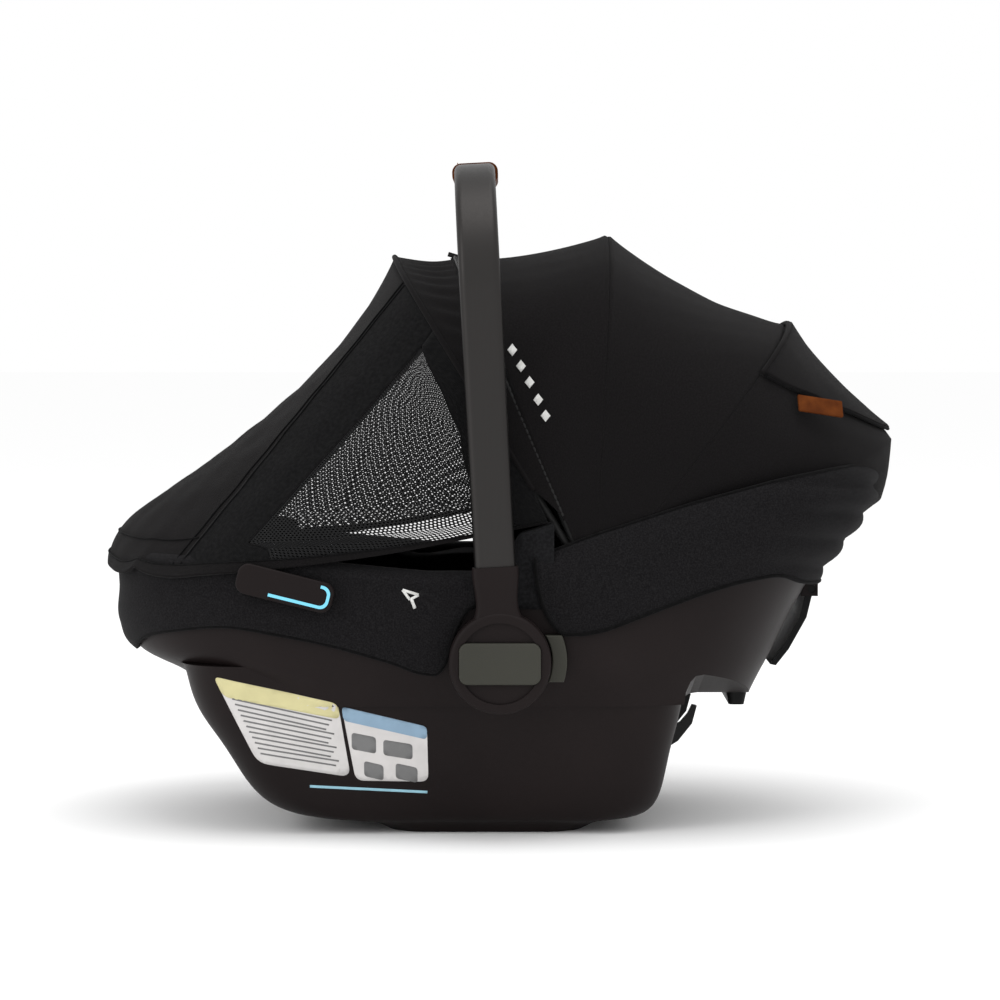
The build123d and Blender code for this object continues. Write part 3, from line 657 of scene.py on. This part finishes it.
grid = []
columns = np.linspace(-1, 1, 121)
for angle in seam_stations():
    row = np.array([canopy_point(angle, u) for u in columns])
    out = row - np.array((CANOPY_X, 0, CANOPY_Z))
    out[:, 1] *= 0.35
    out /= np.linalg.norm(out, axis=1)[:, None]
    sides = np.clip(np.abs(columns) - 0.3, 0, 1)
    sag = 0.5 * waves(row[:, 0], row[:, 1] + 1.3 * row[:, 2], 4)
    folds = 1.1 * sides**2 * np.sin(np.radians(angle) * 17 + 2.5 * columns)
    tight = max(0, 1 - abs(angle - MID_ANGLE) / 6, 1 - abs(angle - REAR_ANGLE) / 6)
    grid.append(row + out * ((sag + folds) * (1 - 0.8 * tight) + seam_dip(angle) - 0.2)[:, None])
tail = grid[-1]
for drop, inwards in ((7, 1.0), (16, 3.0), (26, 6.0)):
    lower = tail.copy()
    lower[:, 2] -= drop
    lower[:, 0] -= inwards
    grid.append(lower)
canopy = cloth_piece("canopy", grid, CANOPY)
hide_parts("canopy_front_panel", "canopy_middle_panel", "canopy_rear_panel")
on_canopy(canopy)

for name, seam in (("middle", MID_ANGLE), ("rear", REAR_ANGLE)):
    for side, shift in (("front", -1.15), ("back", 1.15)):
        row = stitches(f"canopy_{name}_stitches_{side}", canopy_curve(seam + shift, 0.45), DARK_THREAD)
        on_canopy(row)

# zip that closes the shade to the canopy: tape, coil and gathered edge
tape_rows = []
for shift in (-1.4, -0.7, 0, 0.7, 1.2):
    angle = FRONT_ANGLE + shift
    lift = 1.3 + 0.8 * math.cos(shift * 1.2)
    row = np.array([lean(angle, y, r + lift) for y, r in
                    (arch_point(canopy_reach(FRONT_ANGLE), u, 60) for u in np.linspace(-1, 1, 181))])
    gather = 0.7 * np.sin(np.linspace(0, 170, 181) * math.pi) * (shift < -1)
    row[:, 0] += gather * 1.2
    tape_rows.append(row)
zip_tape = cloth_piece("zip_tape", tape_rows, PIPING, 0.8)
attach(zip_tape, "canopy_front")
coil_path = [lean(FRONT_ANGLE, y, r + 3.4) for y, r in
             (arch_point(FRONT_R, u, 62) for u in np.linspace(-1, 1, 400))]
ridges = 1.25 + 0.25 * np.sin(np.arange(400) * 2.1)
zip_coil = tube("zip_coil", coil_path, ridges, BLACK_METAL, 8)
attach(zip_coil, "canopy_front")

# ---- vent flap over the rear of the canopy ----
FLAP_LIFT = 5


def flap_low(angle):
    """Reach of the vent flap's straight side edge at an angle."""
    a = math.radians(angle)
    return 224.3 / (math.cos(a) + 0.4 * math.sin(a))


def flap_row(angle, count=97, lift=0.0):
    reach, shape = canopy_reach(angle), canopy_shape(angle)
    points = [arch_point(reach, u, flap_low(angle), *shape) for u in np.linspace(-1, 1, count)]
    return np.array([lean(angle, y, r + FLAP_LIFT + lift) for y, r in points])


FLAP_ANGLES = np.linspace(REAR_ANGLE + 0.8, 63.5, 34)
grid = []
for angle in FLAP_ANGLES:
    row = flap_row(angle)
    opening = max(0, 1 - (angle - FLAP_ANGLES[0]) / 4.5)
    across = np.linspace(-1, 1, 97)
    row[:, 2] += 2.2 * opening + 0.5 * waves(row[:, 0], row[:, 1], 12) * (1 - opening)
    grid.append(row)
flap = cloth_piece("vent_flap_cloth", grid, CANOPY, 1.8)
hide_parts("vent_flap")
hem_front = tube("vent_flap_front_hem", grid[0] + np.array((-1.4, 0, -0.6)), 2.5, CANOPY, 10)
left = np.array([row[0] for row in grid])
right = np.array([row[-1] for row in grid])
edge_path = np.concatenate([left, grid[-1][1:-1], right[::-1]])
hem_edge = tube("vent_flap_edge_hem", edge_path + np.array((0, 0, -0.6)), 1.5, PIPING, 8)
inner = np.array([row[3] for row in grid]) + np.array((0, -0.5, 0.5))
inner_right = inner * np.array((1, -1, 1))
for piece in (flap, hem_front, hem_edge,
              stitches("vent_flap_stitches_left", inner, DARK_THREAD),
              stitches("vent_flap_stitches_right", inner_right, DARK_THREAD),
              stitches("vent_flap_stitches_front", grid[4] + np.array((0, 0, 0.4)), DARK_THREAD)):
    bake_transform(piece)
tag = node_copy("leather_tag", "leather_tag_sewn", LEATHER)
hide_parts("leather_tag")
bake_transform(tag)

# ---- drop-down shade ----
SHADE_LOW = 95
HEM_TIP_X = -331
HEM_BULGE, HEM_BULGE_Y = 4.5, 75
HEM_HALF = 197
HEM_CORNER_R = 158
HEM_END = (42, 183)
HEM_Z = [(-335, 240), (-325, 235), (-314, 228), (-300, 221), (-274, 217), (-244, 220), (-162, 228),
         (-81, 239), (-33, 248), (42, 262)]
SEAM_ARCH = 0.355
SEAM_HEM = 0.360
SEAM = 0.36
SHADE_BEZIER = [(-90.5, 479), (-152, 337), (-337, 262), (-335, 240)]
HEM_TUCK, HEM_TUCK_RUN = 19, 27    # the tip's cloth turns down over the foot end


def hem_point(s):
    """Hem of the shade around the foot end, s from -1 to 1, 0 at the foot tip."""
    flat = HEM_HALF - HEM_CORNER_R
    arc = HEM_CORNER_R * math.pi / 2
    x_side = HEM_TIP_X + HEM_CORNER_R
    side = math.hypot(HEM_END[0] - x_side, HEM_HALF - HEM_END[1])
    run = abs(s) * (flat + arc + side)
    if run <= flat:
        x, y = HEM_TIP_X, run
    elif run <= flat + arc:
        a = (run - flat) / HEM_CORNER_R
        x, y = x_side - HEM_CORNER_R * math.cos(a), flat + HEM_CORNER_R * math.sin(a)
    else:
        t = (run - flat - arc) / side
        x = x_side + (HEM_END[0] - x_side) * t
        y = HEM_HALF + (HEM_END[1] - HEM_HALF) * t
    x -= HEM_BULGE * max(1 - (y / HEM_BULGE_Y) ** 2, 0)
    return x, math.copysign(y, s), float(smooth_interp(x, HEM_Z))


def share(p, mid):
    """Spread p so that the seam, at SEAM, lands at a share of mid."""
    q = abs(p)
    v = q * mid / SEAM if q <= SEAM else mid + (q - SEAM) * (1 - mid) / (1 - SEAM)
    return math.copysign(v, p)


def shade_point(p, t):
    """Shade surface: p across from -1 to 1, t down from the arch to the hem."""
    y, reach = arch_point(SHADE_R, share(p, SEAM_ARCH), SHADE_LOW)
    top, low = lean(SHADE_ANGLE, y, reach), hem_point(share(p, SEAM_HEM))
    b0, b1, b2, b3 = SHADE_BEZIER
    slack = max(1 - (p / SEAM) ** 2, 0)
    point = []
    for k, c in ((0, 0), (1, None), (2, 1)):
        value = top[k] + (low[k] - top[k]) * t
        if c is not None:
            bend = 3 * (1 - t) ** 2 * t * (b1[c] - b0[c]) + 3 * (1 - t) * t**2 * (b2[c] - b0[c])
            value += slack * (bend + (t**3 - t) * (b3[c] - b0[c]))
        point.append(value)
    tip = max(1 - ((low[0] - HEM_TIP_X) / HEM_TUCK_RUN) ** 2, 0)
    point[2] -= HEM_TUCK * tip * t**9
    return np.array(point)


def shade_grid(p0, p1, across, rows=60, t0=0.0, t1=1.0, lift=0.0, ripple=1.0):
    """Grid of the shade with its soft unevenness, lifted along its outward normal."""
    ps, ts = np.linspace(p0, p1, across), np.linspace(t0, t1, rows)
    grid = np.array([[shade_point(p, t) for p in ps] for t in ts])
    step_p = np.array([[shade_point(p + 0.004, t) for p in ps] for t in ts]) - grid
    step_t = np.array([[shade_point(p, t + 0.004) for p in ps] for t in ts]) - grid
    normal = np.cross(step_p, step_t)
    normal /= np.linalg.norm(normal, axis=2)[:, :, None]
    normal *= np.where(normal[:, :, [2]] < 0, -1, 1)
    free = np.sin(math.pi * np.clip(ts, 0, 1))[:, None]
    soft = ripple * 1.1 * free * waves(grid[:, :, 0], grid[:, :, 1] + grid[:, :, 2], 31)
    return grid + normal * (lift + soft)[:, :, None]


def on_shade(piece):
    """Shade cloth hangs from its stay and turns with the canopy's front."""
    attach(piece, "canopy_front")
    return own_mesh(piece)


panel_grid = shade_grid(-SEAM - 0.012, SEAM + 0.012, 81)
panel = cloth_piece("shade_centre", panel_grid, CANOPY, 1.0)
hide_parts("shade_panel")


def strip_grid(edge_a, edge_b, sign, rows, columns):
    """Grid of the shade between two lines of (p, t) places."""
    marks = np.linspace(0, 1, columns)
    lines = []
    for edge in (edge_a, edge_b):
        edge = np.asarray(edge, float)
        run = np.concatenate([[0], np.cumsum(np.hypot(*np.diff(edge, axis=0).T))])
        run /= run[-1]
        lines.append(np.column_stack([np.interp(marks, run, edge[:, k]) for k in (0, 1)]))
    places = [lines[0] + (lines[1] - lines[0]) * q for q in np.linspace(0, 1, rows)]
    grid = np.array([[shade_point(sign * p, t) for p, t in row] for row in places])
    outwards = np.array((-0.35, sign * 0.9, 0.25))
    bump_up = np.array([[math.sin(math.pi * min(t, 1)) for _, t in row] for row in places])
    soft = bump_up * waves(grid[:, :, 0], grid[:, :, 1] + grid[:, :, 2], 31)
    return grid + outwards * soft[:, :, None]


# The see-through window in each side, in shade places: its edge by the long seam and its edge by
# the stay. Denser net fills the side panel round it.
ARCH_MARK = (0.55, 0)
NET_END_T = 0.975
WINDOW_SEAM = [(0.548, 0.08), (0.472, 0.89), (0.516, 0.915), (0.54, NET_END_T)]
WINDOW_STAY = [(0.548, 0.08), (0.664, 0.13), (0.752, 0.215), (0.908, 0.745), (0.955, NET_END_T)]
PANEL_END_P = 0.995
nets = []
for side, sign in (("left", -1), ("right", 1)):
    window_grid = strip_grid(WINDOW_SEAM, WINDOW_STAY, sign, 50, 70)
    window = mesh_object(f"shade_net_{side}", window_grid.reshape(-1, 3), grid_faces(50, 70), NET,
                         arc_lengths(window_grid)[:, ::sign])
    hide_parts(f"shade_mesh_{side}")
    seam_grid = strip_grid([(SEAM, 0), (SEAM, NET_END_T)], [ARCH_MARK] + WINDOW_SEAM, sign, 24, 80)
    stay_grid = strip_grid([(PANEL_END_P, 0), (PANEL_END_P, NET_END_T)], [ARCH_MARK] + WINDOW_STAY,
                           sign, 30, 80)
    dense = [cloth_piece(f"shade_side_seam_{side}", seam_grid, DENSE_NET, 0.6, 0),
             cloth_piece(f"shade_side_stay_{side}", stay_grid, DENSE_NET, 0.6, 0)]
    edges = [tube(f"shade_window_edge_{k}_{side}", line, 0.6, PIPING, 6)
             for k, line in enumerate((seam_grid[-1][8:], stay_grid[-1][8:]))]
    nets.append((window, edges, grid_area(window_grid), (0.30, 0.15)))
    nets.append((dense[0], [], grid_area(seam_grid), (0.34, 0.06)))
    nets.append((dense[1], [], grid_area(stay_grid), (0.25, 0.06)))

HEM_W = 0.034
hem_band = cloth_piece(
    "shade_hem", shade_grid(-1, 1, 321, 7, 1 - HEM_W, 1.004, lift=1.0, ripple=0), CANOPY, 2.8, -1)
pieces = [hem_band]
for side, sign in (("left", -1), ("right", 1)):
    for k, shift in enumerate((-0.010, 0.006)):
        line = shade_grid(sign * (SEAM + shift), sign * (SEAM + shift) + 1e-4, 2, 90, 0.01, 0.965,
                          lift=0.7)[:, 0]
        pieces.append(tube(f"shade_seam_{side}_{k}", line, 0.75, PIPING, 6))
cross = shade_grid(-SEAM, SEAM, 90, 2, 0.872, 0.8725, lift=0.6)[0]
pieces.append(tube("shade_tip_seam", cross, 0.7, PIPING, 6))
for k, t in enumerate((1 - HEM_W - 0.002,)):
    line = shade_grid(-0.995, 0.995, 321, 2, t, t + 1e-4, lift=1.0, ripple=0)[0]
    pieces.append(stitches(f"shade_hem_stitches_{k}", line, DARK_THREAD))
    pieces.append(tube(f"shade_hem_edge_{k}", line, 0.7, PIPING, 6))
for piece in pieces:
    on_shade(piece)
on_shade(panel)
for cloth, trims, area, flat in nets:
    for piece in [cloth] + trims:
        on_shade(piece)

# band from the shade's arch to the zip
grid = []
for t in np.linspace(0, 1, 14):
    angle = SHADE_ANGLE + (FRONT_ANGLE - SHADE_ANGLE) * t
    reach = SHADE_R + (FRONT_R + 1 - SHADE_R) * t - 6 * math.sin(math.pi * t)
    row = [arch_point(reach, u, 95 - 33 * t) for u in np.linspace(-1, 1, 181)]
    row = np.array([lean(angle, y, r) for y, r in row])
    crimp = np.sin(np.linspace(0, 64, 181) * math.pi) * math.sin(math.pi * t) * 1.1
    row[:, 2] += crimp
    grid.append(row)
header = cloth_piece("shade_band", grid, CANOPY, 1.0)
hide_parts("shade_header")
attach(header, "canopy_front")
bow_edge = [lean(SHADE_ANGLE, *arch_point(SHADE_R, u, SHADE_LOW)) for u in np.linspace(-1, 1, 240)]
piping = tube("shade_bow_piping", np.array(bow_edge) + np.array((0, 0, 0.5)), 2.2, CANOPY, 10)
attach(piping, "canopy_front")

# ---- seat covers that hug the shell ----
FOOT_LOW = [(-345, 147), (-322, 149), (-297, 164), (-262, 173), (-226, 177), (-180, 171),
            (-137, 162), (-88, 148), (-60, 139), (-50, 140), (-44, 150), (-40, 165), (-34, 180),
            (-28, 190), (-20, 196)]
FOOT_X = (-20, -175)
HEAD_LOW = [(28, 231), (29, 222), (31, 209), (35, 195), (42, 181), (50, 173), (62, 171.5), (81, 174),
            (112, 185), (145, 197), (178, 207), (210, 214), (240, 216), (260, 210), (350, 203)]
HEAD_TOP = [(28, 234), (50, 242), (74, 251), (121, 266), (160, 278), (202, 290), (240, 300),
            (266, 305), (286, 306), (305, 299), (326, 289), (350, 284)]
HEAD_X = (28.5, 100)
FAN_Y = 36


def foot_rays(count_side=70, count_corner=46, count_end=20):
    """Centres and directions of level rays from the left hub round the foot to the right hub."""
    rays = []
    near, far = FOOT_X
    for x in near + (far - near) * np.linspace(0, 1, count_side) ** 1.25:
        rays.append((x, 0, 0, -1))
    for a in np.linspace(0, math.pi / 2, count_corner)[1:]:
        rays.append((far, -FAN_Y, -math.sin(a), -math.cos(a)))
    for y in np.linspace(-FAN_Y, 0, count_end)[1:]:
        rays.append((far, y, -1, 0))
    rays = np.array(rays)
    other = rays[::-1][1:] * np.array((1, -1, 1, -1))
    return np.concatenate([rays, other])


def head_rays(count_side=60, count_corner=60, count_end=20):
    rays = []
    near, far = HEAD_X
    for x in near + (far - near) * np.linspace(0, 1, count_side) ** 1.5:
        rays.append((x, 0, 0, -1))
    for a in np.linspace(0, math.pi / 2, count_corner)[1:]:
        rays.append((far, -FAN_Y, math.sin(a), -math.cos(a)))
    for y in np.linspace(-FAN_Y, 0, count_end)[1:]:
        rays.append((far, y, 1, 0))
    rays = np.array(rays)
    other = rays[::-1][1:] * np.array((1, -1, 1, -1))
    return np.concatenate([rays, other])


def skin_row(rays, heights, grow):
    return body_skin(rays[:, :2], rays[:, 2:], heights, grow)


rays = foot_rays()
level = skin_row(rays, np.full(len(rays), 185.0), 4)
low = smooth_interp(level[:, 0], FOOT_LOW)
rim = line_interp(level[:, 0], RIM)
grid = []
run = np.arange(len(rays)) * 2.2
for t in np.linspace(0, 1, 30):
    z = low + (rim - 4 - low) * t
    crease = math.sin(math.pi * t) ** 0.5
    swell = 1.1 * math.sin(math.pi * min(t * 1.4, 1)) + 0.7 * waves(run, z * 1.4, 51) * crease
    swell = swell + 0.5 * np.sin(run / 7.5) * max(0, 1 - 5 * t)
    grid.append(skin_row(rays, z, 3.4 + swell))
for grow, up in ((4.2, -1), (3.4, 3), (0.6, 6.2), (-4, 7.8), (-11, 7.9), (-18, 7.0), (-24, 3), (-27, -4)):
    z = np.minimum(rim + up, 306)
    row = skin_row(rays, z, grow + 0.4 * waves(run, run * 0 + grow * 3, 52))
    row[:, 2] = rim + up
    grid.append(row)
foot_cover = cloth_piece("foot_cover_cloth", grid, MELANGE, 1.6)
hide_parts("foot_cover")
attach(foot_cover, "carrier")
edge = np.concatenate([np.array([row[0] for row in grid[29::-1]]), grid[0][1:-1],
                       np.array([row[-1] for row in grid[:30]])])
edge[:, 1] += np.sign(edge[:, 1]) * 0.4
foot_piping = tube("foot_cover_piping", resample(edge, 2.5), 1.7, PIPING, 8)
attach(foot_piping, "carrier")

rays = head_rays()
level = skin_row(rays, np.full(len(rays), 240.0), 6)
low, top = smooth_interp(level[:, 0], HEAD_LOW), smooth_interp(level[:, 0], HEAD_TOP)
run = np.arange(len(rays)) * 2.4
back = np.clip((level[:, 0] - 150) / 130, 0, 1) ** 1.5
grid = []
for t in np.linspace(0, 1, 34):
    z = low + (top - low) * t
    pleats = np.abs(np.sin(z / 7.2 + 0.8 * np.sin(run / 37) + 0.5)) - 0.5
    gathers = back * 6.0 * pleats * (0.75 + 0.25 * np.cos(run / 43))
    swell = 4.8 + 4.6 * back * math.sin(math.pi * (0.15 + 0.7 * t))
    swell = swell + 0.8 * waves(run, z * 1.3, 61) * math.sin(math.pi * t) ** 0.5 + gathers
    lean_in = np.clip((t - 0.72) / 0.28, 0, 1) ** 1.6 * (8 + 3 * back)
    grid.append(skin_row(rays, z, swell - lean_in))
head_cover = cloth_piece("head_cover_cloth", grid, MELANGE, 1.6)
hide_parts("head_cover")
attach(head_cover, "carrier")
edge = np.concatenate([np.array([row[0] for row in grid[::-1]]), grid[0][1:-1],
                       np.array([row[-1] for row in grid])])
head_piping = tube("head_cover_piping", resample(edge, 2.5), 1.7, PIPING, 8)
top_piping = tube("head_cover_top_edge", resample(grid[-1], 2.5), 1.2, PIPING, 8)
for piece in (head_piping, top_piping):
    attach(piece, "carrier")

# black fabric between the covers, behind the hub, with an ear up to the canopy's front edge
EAR_X, EAR_RUN, EAR_RISE = -2, 20, 32
for side, sign in (("left", -1), ("right", 1)):
    grid = []
    xs = np.linspace(-50, 44, 40)
    side_rays = np.column_stack((xs, 0 * xs, 0 * xs, np.full(40, float(sign))))
    ear = np.clip((xs - EAR_X) / EAR_RUN, 0, 1)
    rim = line_interp(xs, RIM) + EAR_RISE * ear**2 * (3 - 2 * ear)
    for t in np.linspace(0, 1, 16):
        z = 192 + (rim - 3 - 192) * t
        grid.append(skin_row(side_rays, z, 1.4 + 0.7 * waves(xs, z, 71)))
    for grow, up in ((1.2, 3), (-2, 5.4), (-8, 6.4), (-16, 6), (-23, 2)):
        row = skin_row(side_rays, rim, grow)
        row[:, 2] = rim + up
        grid.append(row)
    gusset = cloth_piece(f"side_gusset_{side}", grid, PAD, 1.4, 0)
    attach(gusset, "carrier")


# ---- padded pieces ----
def padded_piece(node, material, voxel=5.0, pressure=4.0, cap=7.0, shrink=1.0):
    """Stuffed copy of a CAD solid, swollen by a short cloth run."""
    piece = node_copy(node, node + "_stuffed", material)
    remesh = piece.modifiers.new("remesh", "REMESH")
    remesh.mode = "VOXEL"
    remesh.voxel_size = voxel * MM
    remesh.use_smooth_shade = True
    smooth = piece.modifiers.new("smooth", "SMOOTH")
    smooth.iterations = 4
    bake_modifiers(piece)
    inward = piece.modifiers.new("inward", "DISPLACE")
    inward.strength = -shrink * MM
    inward.mid_level = 0
    bake_modifiers(piece)
    rest = np.array([v.co for v in piece.data.vertices])
    cloth = piece.modifiers.new("cloth", "CLOTH")
    cloth.settings.use_pressure = True
    cloth.settings.uniform_pressure_force = pressure
    cloth.settings.effector_weights.gravity = 0
    cloth.settings.quality = 4
    cloth.point_cache.frame_start = 1
    cloth.point_cache.frame_end = 14
    for number in range(1, 15):
        bpy.context.scene.frame_set(number)
    bake_modifiers(piece)
    bpy.context.scene.frame_set(1)
    moved = np.array([v.co for v in piece.data.vertices]) - rest
    length = np.linalg.norm(moved, axis=1)
    limit = np.minimum(1, cap * MM / np.maximum(length, 1e-9))
    piece.data.vertices.foreach_set("co", (rest + moved * limit[:, None]).ravel())
    finer = piece.modifiers.new("finer", "SUBSURF")
    finer.levels = 1
    bake_modifiers(piece)
    piece.data.polygons.foreach_set("use_smooth", [True] * len(piece.data.polygons))
    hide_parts(node)
    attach(piece, "carrier")
    return piece


padded_piece("seat_pad", PAD, 6.5, 2.0, 4.0, 0.6)
padded_piece("infant_insert", INSERT, 5.0, 5.0, 9.0, 3.0)
padded_piece("head_support", INSERT, 5.0, 5.0, 7.0, 2.5)
for side in ("left", "right"):
    padded_piece(f"strap_pad_{side}", PAD, 3.5, 4.0, 3.0, 0.8)

# ---- prints, stitching and small trims ----
shell_tree = surface_tree(nodes["carrier_shell"])
yellow_panel = [(-235, 135), (-133, 113), (-123, 50), (-200, 62)]
prints = [
    ("label_ground", [rounded(yellow_panel, 9)], 0.12, LABEL_WHITE),
    ("label_header", [rounded([(-235, 135), (-133, 113), (-131, 99), (-227, 118)], 6)], 0.3,
     LABEL_YELLOW),
    ("label_two_ground", [rounded([(-130, 110), (-60, 93), (-59, 46), (-119, 47)], 7)], 0.12,
     LABEL_WHITE),
    ("label_two_header", [rounded([(-130, 110), (-60, 93), (-60, 82), (-128.5, 98)], 4)], 0.3,
     LABEL_BLUE),
    ("level_line", [bar((-157, 42), (-60, 37), 2.2)], 0.12, LABEL_LINE),
]
text_bars = []
for k in range(11):
    t = 0.22 + 0.066 * k
    left = (-233 + 34 * t, 133 - 70 * t)
    right = (-134 + 9 * t, 111 - 58 * t)
    inset = 6 + (3 * (k % 3))
    text_bars.append(bar((left[0] + 6, left[1] - 1.2), (right[0] - inset, right[1]), 1.3))
prints.append(("label_rules", text_bars, 0.3, LABEL_GREY))
boxes = []
for x, z, w, h in ((-122, 88, 20, 14), (-96, 82, 24, 13), (-112, 64, 16, 13), (-86, 62, 18, 13)):
    boxes.append(rounded([(x, z), (x + w, z - 4), (x + w, z - 4 - h), (x, z - h)], 3))
prints.append(("label_boxes", boxes, 0.3, LABEL_GREY))
for name, shapes, lift, material in prints:
    piece = stick(name, shapes, shell_tree, lift, 0.15, material)
    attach(piece, "carrier")

canopy_tree = surface_tree(canopy)
marks = []
for x, z in ((10, 402), (17, 389), (24, 376), (31, 362), (37, 349)):
    marks.append([(x - 4, z), (x, z + 5), (x + 4, z), (x, z - 5)])
motif = stick("canopy_motif", marks, canopy_tree, 0.5, 0.3, WHITE_THREAD)
on_canopy(motif)
foot_tree = surface_tree(foot_cover)
sign_shape = [bar((-79, 208), (-66, 204), 2.2), bar((-66, 204), (-73, 200), 2.2),
              bar((-73, 200), (-79, 208), 2.2), bar((-72, 201), (-69, 193), 2.6)]
pictogram = stick("belt_pictogram", sign_shape, foot_tree, 0.4, 0.4, WHITE_THREAD)
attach(pictogram, "carrier")

# stitching on the leather grip
grip_low, grip_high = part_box("handle_grip")
STITCH_INSET, STITCH_SINK = 4.5, 0.8
stitch_z = grip_high.z / MM - STITCH_SINK
for name, edge_x in (("front", grip_low.x / MM + STITCH_INSET),
                     ("back", grip_high.x / MM - STITCH_INSET)):
    line = [(edge_x, y, stitch_z) for y in np.linspace(-70, 70, 80)]
    row = stitches(f"grip_stitches_{name}", line, THREAD)
    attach(row, "handle")

# ---- stage: floor, light and camera ----
FLOOR_WHITE = new_material("floor_white", (0.98, 0.98, 0.98), 0.9, specular_ior_level=0.0)[0]
bpy.ops.mesh.primitive_plane_add(size=40, location=(0, 0, cad_box[0][2] - 0.0002))
floor = bpy.context.object
floor.name = "floor"
floor.data.materials.append(FLOOR_WHITE)

world = bpy.data.worlds.new("studio")
bpy.context.scene.world = world
bpy.context.scene.view_settings.view_transform = "Standard"
world.use_nodes = True
world.node_tree.nodes["Background"].inputs["Color"].default_value = (1, 1, 1, 1)
world.node_tree.nodes["Background"].inputs["Strength"].default_value = 1.0


def soft_light(name, location, size, power):
    light = bpy.data.lights.new(name, "AREA")
    light.shape = "RECTANGLE"
    light.size, light.size_y = size
    light.energy = power
    lamp = bpy.data.objects.new(name, light)
    bpy.context.scene.collection.objects.link(lamp)
    lamp.location = location
    aim = Vector((0, 0, 0.25)) - Vector(location)
    lamp.rotation_euler = aim.to_track_quat("-Z", "Y").to_euler()
    return lamp


soft_light("top_softbox", (0.3, -0.6, 3.2), (2.6, 2.2), 40)
soft_light("side_softbox", (-2.4, -2.2, 1.6), (1.2, 2.0), 22)

camera_data = bpy.data.cameras.new("camera")
camera_data.lens = 125
camera_data.sensor_width = 36
camera = bpy.data.objects.new("camera", camera_data)
bpy.context.scene.collection.objects.link(camera)
camera.location = (0, -3.0, 0.438)
camera.rotation_euler = (math.radians(90 - 3.2), 0, 0)
bpy.context.scene.camera = camera
